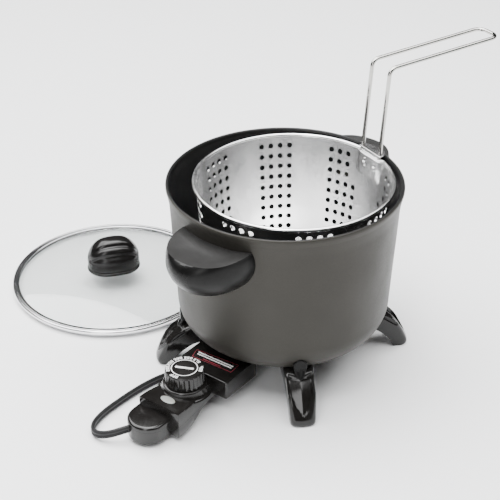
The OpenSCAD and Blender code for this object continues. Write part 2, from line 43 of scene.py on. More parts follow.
# ---------------- camera
PITCH = radians(31.52)
lens = bpy.data.cameras.new("camera")
lens.lens = 93.14
lens.sensor_width = 36
lens.clip_start = 0.05
lens.clip_end = 50
camera = bpy.data.objects.new("camera", lens)
scene.collection.objects.link(camera)
camera.location = (-0.9164, -0.6492, 0.8111)
look = Vector((0.798 * cos(PITCH), 0.603 * cos(PITCH), -sin(PITCH)))
camera.rotation_euler = look.to_track_quat("-Z", "Y").to_euler()
scene.camera = camera


# ---------------- mesh helpers (all lengths in mm)
def around(n):
    """cosine and sine of n equal turns"""
    return [(cos(2 * pi * k / n), sin(2 * pi * k / n)) for k in range(n)]


def polar(r, a, cx=0, cy=0):
    """the point at radius r and angle a in degrees about (cx, cy)"""
    return (cx + r * cos(radians(a)), cy + r * sin(radians(a)))


def arc(cx, cy, r, a0, a1, n):
    return [polar(r, a0 + (a1 - a0) * i / n, cx, cy) for i in range(n + 1)]


def ease(x):
    """0 below 0, 1 above 1, and a smooth step between"""
    x = min(1, max(0, x))
    return x * x * (3 - 2 * x)


def catmull(a, b, c, d, t):
    """the Catmull-Rom curve between b and c"""
    return 0.5 * (2 * b + (c - a) * t + (2 * a - 5 * b + 4 * c - d) * t * t
                  + (3 * b - a - 3 * c + d) * t ** 3)


def signed_power(v, p):
    return math.copysign(abs(v) ** p, v)


def anticlockwise(outline):
    area = sum(a[0] * b[1] - b[0] * a[1] for a, b in zip(outline, outline[1:] + outline[:1]))
    return outline if area > 0 else outline[::-1]


def link(name, me, mats):
    ob = bpy.data.objects.new(name, me)
    scene.collection.objects.link(ob)
    for m in mats if isinstance(mats, (list, tuple)) else [mats]:
        me.materials.append(m)
    return ob


def mesh(name, verts, faces, mats, sharp=40):
    me = bpy.data.meshes.new(name)
    me.from_pydata([(x * MM, y * MM, z * MM) for x, y, z in verts], [], faces)
    ob = link(name, me, mats)
    tidy(ob, sharp)
    return ob


def tidy(ob, sharp=40, flip=True):
    """consistent outward normals, and smooth shading apart from edges sharper than an angle"""
    bm = bmesh.new()
    bm.from_mesh(ob.data)
    if flip:
        bmesh.ops.recalc_face_normals(bm, faces=bm.faces)
    for f in bm.faces:
        f.smooth = True
    lim = radians(sharp)
    for e in bm.edges:
        e.smooth = not (len(e.link_faces) == 2 and e.calc_face_angle(0) > lim)
    bm.to_mesh(ob.data)
    bm.free()
    ob.data.update()


def apply_all(ob):
    """keep the result of an object's modifiers as its mesh"""
    bpy.context.view_layer.update()
    me = bpy.data.meshes.new_from_object(ob.evaluated_get(bpy.context.evaluated_depsgraph_get()))
    old = ob.data
    ob.modifiers.clear()
    ob.data = me
    me.name = ob.name
    bpy.data.meshes.remove(old)
    return ob


def boolean(ob, others, sharp=40, solver="EXACT"):
    """cut the other pieces out of an object, which uses them up"""
    for o in others if isinstance(others, (list, tuple)) else [others]:
        m = ob.modifiers.new("cut", "BOOLEAN")
        m.operation = "DIFFERENCE"
        m.object = o
        m.solver = solver
        apply_all(ob)
        bpy.data.objects.remove(o)
    tidy(ob, sharp, flip=False)
    return ob


def rounded(pts, steps=6, closed=True):
    """corners [(x, y, radius)] with their corners turned into arcs"""
    out = []
    n = len(pts)
    for i, (x, y, r) in enumerate(pts):
        p = Vector((x, y))
        if r <= 0 or (not closed and i in (0, n - 1)):
            out.append((x, y))
            continue
        a = Vector(pts[i - 1][:2]) - p
        b = Vector(pts[(i + 1) % n][:2]) - p
        la, lb = a.length, b.length
        a.normalize()
        b.normalize()
        half = a.angle(b) / 2
        if half > radians(89.5):
            out.append((x, y))
            continue
        d = min(r / math.tan(half), la * 0.49, lb * 0.49)
        rr = d * math.tan(half)
        c = p + (a + b).normalized() * (rr / sin(half))
        s = p + a * d - c
        e = p + b * d - c
        a0 = math.atan2(s.y, s.x)
        da = (math.atan2(e.y, e.x) - a0 + pi) % (2 * pi) - pi
        k = max(2, int(abs(da) / (pi / 2) * steps + 0.999))
        out += [(c.x + rr * cos(a0 + da * j / k), c.y + rr * sin(a0 + da * j / k)) for j in range(k + 1)]
    return out


def rectangle(x0, y0, x1, y1, steps, radii):
    """a rounded rectangle, anticlockwise from (x0, y0), with a radius for each corner"""
    return rounded(list(zip((x0, x1, x1, x0), (y0, y0, y1, y1), radii)), steps)


def lathe(name, profile, mats, n=128, at=(0, 0), closed=False, sharp=40):
    """profile of (r, z) points turned about a vertical axis"""
    verts, rings = [], []
    turns = around(n)
    for r, z in profile:
        if r < 1e-6:
            rings.append([len(verts)])
            verts.append((at[0], at[1], z))
        else:
            rings.append(list(range(len(verts), len(verts) + n)))
            verts += [(at[0] + r * c, at[1] + r * s, z) for c, s in turns]
    faces = []
    pairs = list(zip(rings, rings[1:])) + ([(rings[-1], rings[0])] if closed else [])
    for a, b in pairs:
        for k in range(n):
            j = (k + 1) % n
            if len(a) == 1 and len(b) == 1:
                continue
            if len(a) == 1:
                faces.append((a[0], b[j], b[k]))
            elif len(b) == 1:
                faces.append((a[k], a[j], b[0]))
            else:
                faces.append((a[k], a[j], b[j], b[k]))
    return mesh(name, verts, faces, mats, sharp)


def cylinder(r, z0, z1, mats, n, at=(0, 0)):
    return lathe("cylinder", [(0, z0), (r, z0), (r, z1), (0, z1)], mats, n, at)


def loft(name, rings, mats, caps=True, sharp=40, join=False):
    """skin over closed rings of points, all with the same count; join runs the last ring back to the first"""
    n = len(rings[0])
    m = len(rings)
    verts = [p for ring in rings for p in ring]
    faces = []
    for i in range(m if join else m - 1):
        i2 = (i + 1) % m
        for k in range(n):
            j = (k + 1) % n
            faces.append((i * n + k, i * n + j, i2 * n + j, i2 * n + k))
    if caps and not join:
        faces.append(tuple(range(n - 1, -1, -1)))
        faces.append(tuple(range((m - 1) * n, m * n)))
    return mesh(name, verts, faces, mats, sharp)


def inset(outline, d):
    """a closed outline moved inwards by d (outline runs anticlockwise)"""
    n = len(outline)
    out = []
    for i, (x, y) in enumerate(outline):
        a = Vector(outline[i - 1])
        b = Vector((x, y))
        c = Vector(outline[(i + 1) % n])
        u, v = (b - a), (c - b)
        if u.length < 1e-9:
            u = v
        if v.length < 1e-9:
            v = u
        u.normalize()
        v.normalize()
        m = Vector((-u.y - v.y, u.x + v.x))
        m = m / max(m.length_squared / 2, 0.3)
        out.append((x + m.x * d, y + m.y * d))
    return out


def prism(name, outline, z0, z1, mats, top=0.0, bottom=0.0, steps=4, turn=None, sharp=40):
    """an outline pulled up from z0 to z1 with rounded top and bottom edges; turn maps (x, y, z) elsewhere"""
    turns = [pi / 2 * i / steps for i in range(steps + 1)]
    rings = []
    if bottom:
        for t in turns[:-1]:
            level = z0 + bottom * (1 - cos(t))
            rings.append([(x, y, level) for x, y in inset(outline, bottom * (1 - sin(t)))])
    rings.append([(x, y, z0 + bottom) for x, y in outline])
    rings.append([(x, y, z1 - top) for x, y in outline])
    if top:
        for t in turns[1:]:
            level = z1 - top * (1 - sin(t))
            rings.append([(x, y, level) for x, y in inset(outline, top * (1 - cos(t)))])
    if turn:
        rings = [[turn(*p) for p in ring] for ring in rings]
    return loft(name, rings, mats, sharp=sharp)


def smooth_line(pts, step, closed=False):
    """evenly spaced points along a Catmull-Rom curve through pts"""
    P = [Vector(p) for p in pts]
    n = len(P)
    dense = []
    for i in range(n if closed else n - 1):
        a = P[(i - 1) % n] if closed or i > 0 else P[0] * 2 - P[1]
        b, c = P[i], P[(i + 1) % n]
        d = P[(i + 2) % n] if closed or i < n - 2 else P[-1] * 2 - P[-2]
        for k in range(24):
            t = k / 24
            dense.append(catmull(a, b, c, d, t))
    if not closed:
        dense.append(P[-1])
    run = [0.0]
    for a, b in zip(dense, dense[1:]):
        run.append(run[-1] + (b - a).length)
    count = max(2, int(run[-1] / step + 0.5))
    out, j = [], 0
    for i in range(count + 1):
        s = run[-1] * i / count
        while j < len(run) - 2 and run[j + 1] < s:
            j += 1
        t = 0 if run[j + 1] == run[j] else (s - run[j]) / (run[j + 1] - run[j])
        out.append(dense[j].lerp(dense[j + 1], min(1, max(0, t))))
    return out


def tube(name, line, r, mats, n):
    """round wire with open ends along a line of points, its rings carried along without twisting"""
    line = [Vector(p) for p in line]
    dirs = []
    for i in range(len(line)):
        a, b = line[max(i - 1, 0)], line[min(i + 1, len(line) - 1)]
        dirs.append((b - a).normalized())
    up = Vector((0, 0, 1)) if abs(dirs[0].z) < 0.9 else Vector((1, 0, 0))
    side = dirs[0].cross(up).normalized()
    rings = []
    for p, d in zip(line, dirs):
        side = (side - d * side.dot(d)).normalized()
        nor = side.cross(d).normalized()
        rings.append([tuple(p + side * r * c + nor * r * s) for c, s in around(n)])
    return loft(name, rings, mats, caps=False, sharp=60)


def join(name, obs):
    """several closed pieces as one object"""
    bm = bmesh.new()
    mats = []
    for o in obs:
        me = o.data
        index = []
        for m in me.materials:
            if m not in mats:
                mats.append(m)
            index.append(mats.index(m))
        part = bmesh.new()
        part.from_mesh(me)
        for f in part.faces:
            f.material_index = index[f.material_index] if index else 0
        tmp = bpy.data.meshes.new("tmp")
        part.to_mesh(tmp)
        part.free()
        bm.from_mesh(tmp)
        bpy.data.meshes.remove(tmp)
        bpy.data.objects.remove(o)
    me = bpy.data.meshes.new(name)
    bm.to_mesh(me)
    bm.free()
    return link(name, me, mats)


def move(ob, matrix):
    ob.data.transform(matrix)
    ob.data.update()
    return ob


def place(x, y, az=0.0):
    return Matrix.Translation((x * MM, y * MM, 0)) @ Matrix.Rotation(radians(az), 4, "Z")


def on(body, nodes, ob):
    """a piece rides a body and stands in for CAD nodes, which are hidden"""
    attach(ob, body)
    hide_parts(*nodes)


# ---------------- materials
class Nodes:
    """a short way to write a procedural material"""

    def __init__(self, name, color, rough, metal=0.0, **sockets):
        self.mat = bpy.data.materials.new(name)
        self.mat.use_nodes = True
        self.t = self.mat.node_tree
        self.s = self.t.nodes["Principled BSDF"]
        self.s.inputs["Base Color"].default_value = (*color, 1)
        self.s.inputs["Roughness"].default_value = rough
        self.s.inputs["Metallic"].default_value = metal
        for k, v in sockets.items():
            self.s.inputs[k.replace("_", " ")].default_value = v
        self.coord = self.t.nodes.new("ShaderNodeTexCoord").outputs["Object"]
        self.normal = None

    def node(self, kind, **kw):
        n = self.t.nodes.new(kind)
        for k, v in kw.items():
            setattr(n, k, v)
        return n

    def stretched(self, scale):
        m = self.node("ShaderNodeMapping")
        m.inputs["Scale"].default_value = scale
        self.t.links.new(self.coord, m.inputs["Vector"])
        return m.outputs["Vector"]

    def noise(self, scale, detail=3, stretch=None, distortion=0.0):
        n = self.node("ShaderNodeTexNoise")
        n.inputs["Scale"].default_value = scale
        n.inputs["Detail"].default_value = detail
        n.inputs["Distortion"].default_value = distortion
        self.t.links.new(self.stretched(stretch) if stretch else self.coord, n.inputs["Vector"])
        return n.outputs["Fac"]

    def cells(self, scale, feature="F1"):
        n = self.node("ShaderNodeTexVoronoi", feature=feature)
        n.inputs["Scale"].default_value = scale
        self.t.links.new(self.coord, n.inputs["Vector"])
        return n.outputs["Distance"]

    def remap(self, fac, lo, hi, a=0.3, b=0.7):
        n = self.node("ShaderNodeMapRange")
        for i, v in ((1, a), (2, b), (3, lo), (4, hi)):
            n.inputs[i].default_value = v
        self.t.links.new(fac, n.inputs[0])
        return n.outputs[0]

    def times(self, a, b):
        n = self.node("ShaderNodeMath", operation="MULTIPLY")
        self.t.links.new(a, n.inputs[0])
        if isinstance(b, (int, float)):
            n.inputs[1].default_value = b
        else:
            self.t.links.new(b, n.inputs[1])
        return n.outputs[0]

    def plus(self, a, b):
        n = self.node("ShaderNodeMath", operation="ADD")
        self.t.links.new(a, n.inputs[0])
        self.t.links.new(b, n.inputs[1])
        return n.outputs[0]

    def color(self, fac, stops):
        n = self.node("ShaderNodeValToRGB")
        ends = n.color_ramp.elements
        for end, (p, c) in ((ends[0], stops[0]), (ends[1], stops[-1])):
            end.position = p
            end.color = (*c, 1)
        for p, c in stops[1:-1]:
            n.color_ramp.elements.new(p).color = (*c, 1)
        self.t.links.new(fac, n.inputs[0])
        self.t.links.new(n.outputs[0], self.s.inputs["Base Color"])
        return self

    def rough(self, fac):
        self.t.links.new(fac, self.s.inputs["Roughness"])
        return self

    def bump(self, height, distance, strength=1.0):
        n = self.node("ShaderNodeBump")
        n.inputs["Strength"].default_value = strength
        n.inputs["Distance"].default_value = distance
        self.t.links.new(height, n.inputs["Height"])
        if self.normal:
            self.t.links.new(self.normal, n.inputs["Normal"])
        self.normal = n.outputs[0]
        self.t.links.new(self.normal, self.s.inputs["Normal"])
        return self


def shade(c, k):
    return tuple(min(1, x * k) for x in c)


def moulded(name, c, lo, hi, grain=1400, depth=0.00002, wave=90, **kw):
    """moulded plastic: slow ripple, fine grain, and patches handled to a different gloss"""
    n = Nodes(name, c, lo, **kw)
    patch = n.noise(38, 4)
    n.color(n.noise(60, 5), [(0.3, shade(c, 0.8)), (0.7, shade(c, 1.25))])
    n.rough(n.remap(n.plus(n.times(patch, 0.7), n.times(n.noise(420, 2), 0.3)), lo, hi, 0.35, 0.65))
    n.bump(n.noise(wave, 2), 0.00012, 0.25)
    n.bump(n.noise(grain, 3), depth, 0.5)
    return n.mat


def metal(name, c, lo, hi, stretch, fine=1600, depth=0.00001, **kw):
    """bare metal with drawn or turned lines along the short axes of stretch"""
    n = Nodes(name, c, lo, 1.0, **kw)
    lines = n.noise(fine, 4, stretch)
    patch = n.noise(24, 4)
    n.color(n.noise(45, 5), [(0.3, shade(c, 0.92)), (0.7, shade(c, 1.04))])
    n.rough(n.remap(n.plus(n.times(lines, 0.5), n.times(patch, 0.5)), lo, hi, 0.35, 0.65))
    n.bump(lines, depth, 0.4)
    return n.mat


def coated(name, c, metallic, lo, hi, fleck, **kw):
    """sprayed coating over cast metal: cast ripple, orange peel and fine bright fleck"""
    n = Nodes(name, c, lo, metallic, **kw)
    grain = n.cells(1500)
    n.color(n.plus(n.times(n.noise(30, 4), 0.5), n.times(grain, 0.9)),
            [(0.15, shade(c, fleck)), (0.45, c), (0.85, shade(c, 0.86))])
    n.rough(n.remap(n.plus(n.times(n.noise(26, 5), 0.6), n.times(n.noise(600, 2), 0.4)), lo, hi, 0.35, 0.65))
    n.bump(n.noise(55, 3), 0.0001, 0.2)
    n.bump(n.noise(900, 3), 0.00002, 0.5)
    return n.mat


PHENOLIC = moulded("phenolic_gloss", (0.008, 0.0074, 0.0069), 0.09, 0.2, Specular_IOR_Level=0.44)
GRIP = moulded("phenolic_satin", (0.004, 0.0039, 0.0038), 0.24, 0.36, grain=1900, depth=0.00001,
               Specular_IOR_Level=0.14)
# lighter copy of the satin phenolic for the grips' upward faces: painted light on their lit tops
PAINTED_LIT_TOP = moulded("phenolic_painted_lit_top", (0.017, 0.0167, 0.0164), 0.3, 0.42, grain=1900, depth=0.00001,
               Specular_IOR_Level=0.34)
KNOB = moulded("phenolic_knob", (0.006, 0.0056, 0.0054), 0.14, 0.26, Specular_IOR_Level=0.34)
POT_OUT = coated("pot_outside", (0.034, 0.0318, 0.0272), 0.35, 0.38, 0.5, 1.35, Specular_IOR_Level=0.22)
POT_IN = coated("pot_inside", (0.008, 0.008, 0.008), 0.0, 0.34, 0.46, 1.8, Specular_IOR_Level=0.24)
BASKET = metal("basket_aluminium", (0.9, 0.9, 0.9), 0.16, 0.3, (1, 1, 9))
RIM = metal("rolled_rim", (0.93, 0.93, 0.93), 0.2, 0.32, (1, 1, 5))
WIRE = metal("chrome_wire", (0.5, 0.49, 0.47), 0.05, 0.12, (1, 1, 0.2), fine=700)
BAND = metal("lid_band", (0.78, 0.78, 0.79), 0.1, 0.22, (1, 1, 6))
ZINC = metal("zinc_steel", (0.62, 0.62, 0.64), 0.22, 0.4, (1, 1, 1))
SHEET = metal("steel_sheet", (0.5, 0.5, 0.52), 0.28, 0.42, (1, 6, 1))
CAST = metal("cast_aluminium", (0.5, 0.5, 0.52), 0.42, 0.6, (1, 1, 1), fine=500, depth=0.00006)
ELEMENT = metal("element_sheath", (0.2, 0.19, 0.185), 0.42, 0.6, (1, 1, 1), fine=700)
BRASS = metal("brass", (0.72, 0.5, 0.22), 0.2, 0.36, (0.3, 1, 1))
COPPER = metal("copper_strip", (0.7, 0.36, 0.2), 0.26, 0.4, (0.3, 1, 1))
RUBBER = moulded("cord_jacket", (0.008, 0.008, 0.0085), 0.38, 0.55, grain=2600, depth=0.00003,
                 Specular_IOR_Level=0.28)
GASKET = moulded("dark_rubber", (0.018, 0.018, 0.018), 0.55, 0.7)
CERAMIC = moulded("glazed_ceramic", (0.78, 0.75, 0.68), 0.2, 0.4)
SLEEVE = moulded("glass_sleeve", (0.7, 0.68, 0.62), 0.6, 0.8, grain=3000, depth=0.0001)
PRINT = moulded("white_print", (0.85, 0.85, 0.83), 0.4, 0.55)
RED_PRINT = moulded("red_print", (0.2, 0.018, 0.03), 0.35, 0.5)
LABEL = moulded("label_face", (0.012, 0.010, 0.010), 0.22, 0.34)
# pale grey lens plastic: its colour stands in for a painted highlight on the control's shoulder
LENS_PAINTED_HIGHLIGHT = moulded("lens_plastic", (0.25, 0.235, 0.215), 0.12, 0.24, Subsurface_Weight=0.2)
LAMP = moulded("lamp_bulb", (0.75, 0.32, 0.12), 0.1, 0.2)


def clear_glass():
    n = Nodes("lid_glass", (0.975, 0.99, 0.985), 0.02, 0.0, Transmission_Weight=1.0, IOR=1.46)
    n.rough(n.remap(n.noise(30, 4), 0.0, 0.035, 0.35, 0.75))
    n.bump(n.noise(14, 2), 0.0001, 0.15)
    return n.mat


GLASS = clear_glass()

for node, finish in {
    "handle_screws": ZINC, "leg_screws": ZINC, "guard_screws": ZINC, "housing_screws": ZINC,
    "heating_element": ELEMENT, "terminal_insulators": CERAMIC, "terminal_pins": ZINC, "probe_well": CAST,
    "terminal_guard": SHEET, "basket_rivets": BASKET, "lid_knob_screw": ZINC, "lid_knob_washer": GASKET,
    "thermostat_probe": ZINC, "thermostat_frame": SHEET, "terminal_contacts": BRASS,
    "thermostat_blades": COPPER, "insulator_stack": CERAMIC, "lead_wires": SLEEVE, "pilot_lamp": LAMP,
    "dial_shaft": ZINC,
}.items():
    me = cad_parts[node].data
    me.materials.clear()
    me.materials.append(finish)


# ---------------- floor and light
FLOOR = 9000
floor = mesh("floor", [(x * FLOOR, y * FLOOR, 0) for x, y in ((-1, -1), (1, -1), (1, 1), (-1, 1))],
             [(0, 1, 2, 3)], Nodes("floor", (0.93, 0.935, 0.94), 0.35).mat)

world = bpy.data.worlds.new("studio")
scene.world = world
world.use_nodes = True
wt = world.node_tree
way = wt.nodes.new("ShaderNodeTexCoord")
parts = wt.nodes.new("ShaderNodeSeparateXYZ")
wt.links.new(way.outputs["Generated"], parts.inputs[0])


def wt_math(op, a, b):
    n = wt.nodes.new("ShaderNodeMath")
    n.operation = op
    for i, v in enumerate((a, b)):
        if isinstance(v, (int, float)):
            n.inputs[i].default_value = v
        else:
            wt.links.new(v, n.inputs[i])
    return n.outputs[0]


def wt_ramp(fac, stops):
    n = wt.nodes.new("ShaderNodeMapRange")
    n.interpolation_type = "SMOOTHSTEP"
    for i, v in zip((1, 2, 3, 4), stops):
        n.inputs[i].default_value = v
    wt.links.new(fac, n.inputs[0])
    return n.outputs[0]


# bright low sweep behind and beside the object, darker overhead and in front
height = wt_ramp(parts.outputs["Z"], (0.42, 0.85, 1.45, 0.3))
back = wt_math("MULTIPLY", parts.outputs["X"], 0.8)
aside = wt_math("MULTIPLY", parts.outputs["Y"], 0.6)
behind = wt_ramp(wt_math("ADD", back, aside), (-0.75, 0.25, 0.42, 0.74))
level = wt_math("MULTIPLY", height, behind)
wt.links.new(level, wt.nodes["Background"].inputs["Strength"])


def softbox(name, place_at, target, size, power):
    light = bpy.data.lights.new(name, "AREA")
    light.shape = "RECTANGLE"
    light.size, light.size_y = size
    light.energy = power
    ob = bpy.data.objects.new(name, light)
    scene.collection.objects.link(ob)
    ob.location = place_at
    ob.rotation_euler = (Vector(target) - Vector(place_at)).to_track_quat("-Z", "Y").to_euler()


softbox("key", (-0.2, 0.9, 2.1), (0, 0, 0.05), (2.6, 2.6), 175)
softbox("top", (0.3, -0.4, 2.3), (0, 0, 0), (3.0, 3.0), 150)
softbox("left", (-1.42, -0.45, 0.8), (-0.1, -0.1, 0.1), (0.42, 1.2), 10)


# ---------------- power cord (same route as the solids, in mm)
CORD = [
    (-208, 27.2, 14), (-213, 30, 14), (-219, 35, 12.5), (-225.5, 42, 10), (-229.5, 51, 7.5),
        (-228.5, 60, 5.8),
    (-222, 67, 5), (-212, 71, 4.8), (-197, 73, 4.6), (-180, 73, 4.5), (-160, 72, 4.5), (-140, 69.5, 4.5),
    (-122, 65, 4.5), (-106, 57.5, 4.5), (-90, 49, 4.5), (-73, 42, 4.5), (-54, 38, 4.5), (-34, 35.5, 4.5),
    (-12, 34, 4.5), (10, 33.3, 4.5), (32, 33, 4.5), (54, 33, 4.5), (76, 33, 4.5), (98, 33, 4.5),
        (120, 33, 4.5),
    (142, 33, 4.5), (164, 33, 4.5), (188, 33, 4.5)]
BEND = (212, 79, 46)
PLUG_Y = BEND[1] + BEND[2]
CORD += [(*polar(BEND[2], a, BEND[0], BEND[1]), 4.5) for a in range(-90, 91, 15)]
CORD += [(203, PLUG_Y, 5.2)]


def flat_cord(name, line, mats):
    """two conductors side by side in one jacket, standing on edge, with a groove between them"""
    section = [polar(2.2, a, 0, 2.1) for a in range(-48, 229, 23)]
    section += [polar(2.2, a, 0, -2.1) for a in range(132, 409, 23)]
    rings = []
    for i, p in enumerate(line):
        d = (line[min(i + 1, len(line) - 1)] - line[max(i - 1, 0)]).normalized()
        side = Vector((d.y, -d.x, 0)).normalized()
        up = side.cross(d)
        rings.append([tuple(p + side * a * 0.98 + up * b * 0.98) for a, b in section])
    return loft(name, rings, mats, sharp=50)


cord_line = smooth_line(CORD, 3)
power_cord = flat_cord("power_cord_jacket", cord_line, RUBBER)


def plug_section(x, half_y, half_z, cz, power):
    return [(x, PLUG_Y + signed_power(c, 2 / power) * half_y, cz + signed_power(s, 2 / power) * half_z)
            for c, s in around(40)]


plug_x = BEND[0] - 14
steps = [(0, 4.9, 4.9, 5.2, 2)]
for i in range(5):
    x = -1.2 - i * 2.4
    steps += [(x, 5.0, 5.0, 5.2, 2), (x - 0.25, 5.6, 5.4, 5.5, 2)]
    steps += [(x - 1.3, 5.6, 5.4, 5.5, 2), (x - 1.55, 5.0, 5.0, 5.3, 2)]
steps += [(-13.4, 5.6, 5.6, 5.9, 2.2), (-15, 8.2, 6.6, 7.0, 2.6), (-18, 9.6, 7.6, 8.0, 3),
          (-23, 9.4, 7.2, 8.2, 3.4), (-30, 9.0, 6.8, 8.3, 3.6), (-36, 9.8, 7.5, 8.4, 4),
          (-41, 10.7, 8.2, 8.45, 4.6), (-44.8, 10.9, 8.4, 8.5, 5),
          (-45.7, 10.5, 8.0, 8.5, 5), (-46, 9.8, 7.3, 8.5, 5)]
rings = [plug_section(BEND[0] + x, a, b, c, p) for x, a, b, c, p in steps]
plug_body = loft("plug_grip", rings, RUBBER, sharp=35)
ribs = []
for s in (-1, 1):
    for i in range(4):
        x = plug_x - 10.5 - 2.6 * i
        z = 8.3 + s * 6.6
        out = rectangle(x - 0.7, -6, x + 0.7, 6, 3, [0.5] * 4)
        ribs.append(prism("rib", out, 0, 0.9, RUBBER, top=0.4, steps=3,
                          turn=lambda a, b, c, s=s, z=z: (a, PLUG_Y + b, z + s * c)))
plug_body = join("plug_grip", [plug_body] + ribs)
blades = []
for s in (-1, 1):
    y = PLUG_Y + s * 6.35
    out = rectangle(plug_x - 48, 5.4, plug_x - 22, 11.6, 5, (2.2, 0, 0, 2.2))
    blade = prism("blade", out, -0.72, 0.72, BRASS, top=0.25, bottom=0.25, steps=2,
                  turn=lambda a, b, c, y=y: (a, y + c, b))
    hole = prism("hole", [(plug_x - 43.5 + 1.5 * c, 8.5 + 1.5 * s) for c, s in around(20)], -3, 3, BRASS,
                 turn=lambda a, b, c, y=y: (a, y + c, b))
    blades.append(boolean(blade, hole))
plug_blades = join("plug_contact_blades", blades)

length = sum((b - a).length for a, b in zip(cord_line, cord_line[1:])) * MM
on("control_body", ["power_cord", "cord_coil"], power_cord)
on("control_body", ["plug_body"], plug_body)
on("control_body", ["plug_blades"], plug_blades)


# ---------------- pot
CORNER_R, CORNER_Z = 73, 74      # centre of the rounding between floor and wall
OUTER_R, INNER_R = 36, 31        # its radius outside and inside
outer = [(0, 38), (30, 38), (60, 38)] + arc(CORNER_R, CORNER_Z, OUTER_R, -90, 0, 24)
outer += [(111.1, 115), (113.2, 155)]
outer += rounded([(113.2, 155, 0), (114.7, 184, 60), (116.6, 195.5, 14), (118, 200.5, 4), (118, 204, 1.6),
                  (114.5, 204, 1.5), (114.5, 199.5, 2.5), (112.4, 193, 6), (110.2, 160, 0)], 6,
                 closed=False)[1:]
inner = [(106.5, 110)] + arc(CORNER_R, CORNER_Z, INNER_R, 0, -90, 20) + [(60, 43), (30, 43), (0, 43)]
pot = lathe("pot_shell", outer + inner, [POT_OUT, POT_IN], 192)
for f in pot.data.polygons:
    c = f.center / MM
    n = f.normal
    r = sqrt(c.x ** 2 + c.y ** 2)
    if (n.x * c.x + n.y * c.y) / max(r, 1) < -0.25 or (n.z > 0.7 and (c.z < 100 or r < 117)):
        f.material_index = 1
SCREW_R = 78      # the leg screws sit on this circle
boss = rounded([(2.1, 40, 0), (2.1, 34, 0.3), (6.5, 34, 0.8), (6.5, 40, 0)], 4, closed=False)
bosses = [lathe("boss", boss, POT_OUT, 40, at=polar(SCREW_R, a)) for a in (45, 135, 225, 315)]
lugs = []
for s in (1, -1):
    out = rounded([(s * 108, -8, 1), (s * 129, -8, 2), (s * 129, 8, 2), (s * 108, 8, 1)][::s], 4)
    lugs.append(prism("lug", out, 160, 171, POT_OUT, top=0.8, bottom=0.8))
pot = join("pot_shell", [pot] + bosses + lugs)
on("fryer", ["pot"], pot)


def pot_cutter():
    """the outside of the pot, grown by a small gap"""
    gap = 0.12
    profile = [(0, 38 - gap)] + arc(CORNER_R, CORNER_Z, OUTER_R + gap, -90, 0, 24)
    profile += [(115.4 + gap, 196), (118.2 + gap, 198.5), (118.2 + gap, 206), (0, 206)]
    return lathe("cutter", profile, POT_OUT, 192)


# ---------------- legs
LEG_OUT = [(94, 48.6), (100, 46.3), (106, 43.2), (112, 38.7), (118, 33.4), (123, 27.6), (127.5, 20.6),
           (131, 14), (133.6, 8), (134.6, 4.6)]
LEG_IN = [(120.7, 0.1), (119.5, 2), (117, 5.5), (113.5, 10), (110, 13.8), (106, 17.4), (99, 22.5), (92, 25.5),
          (84, 27)]


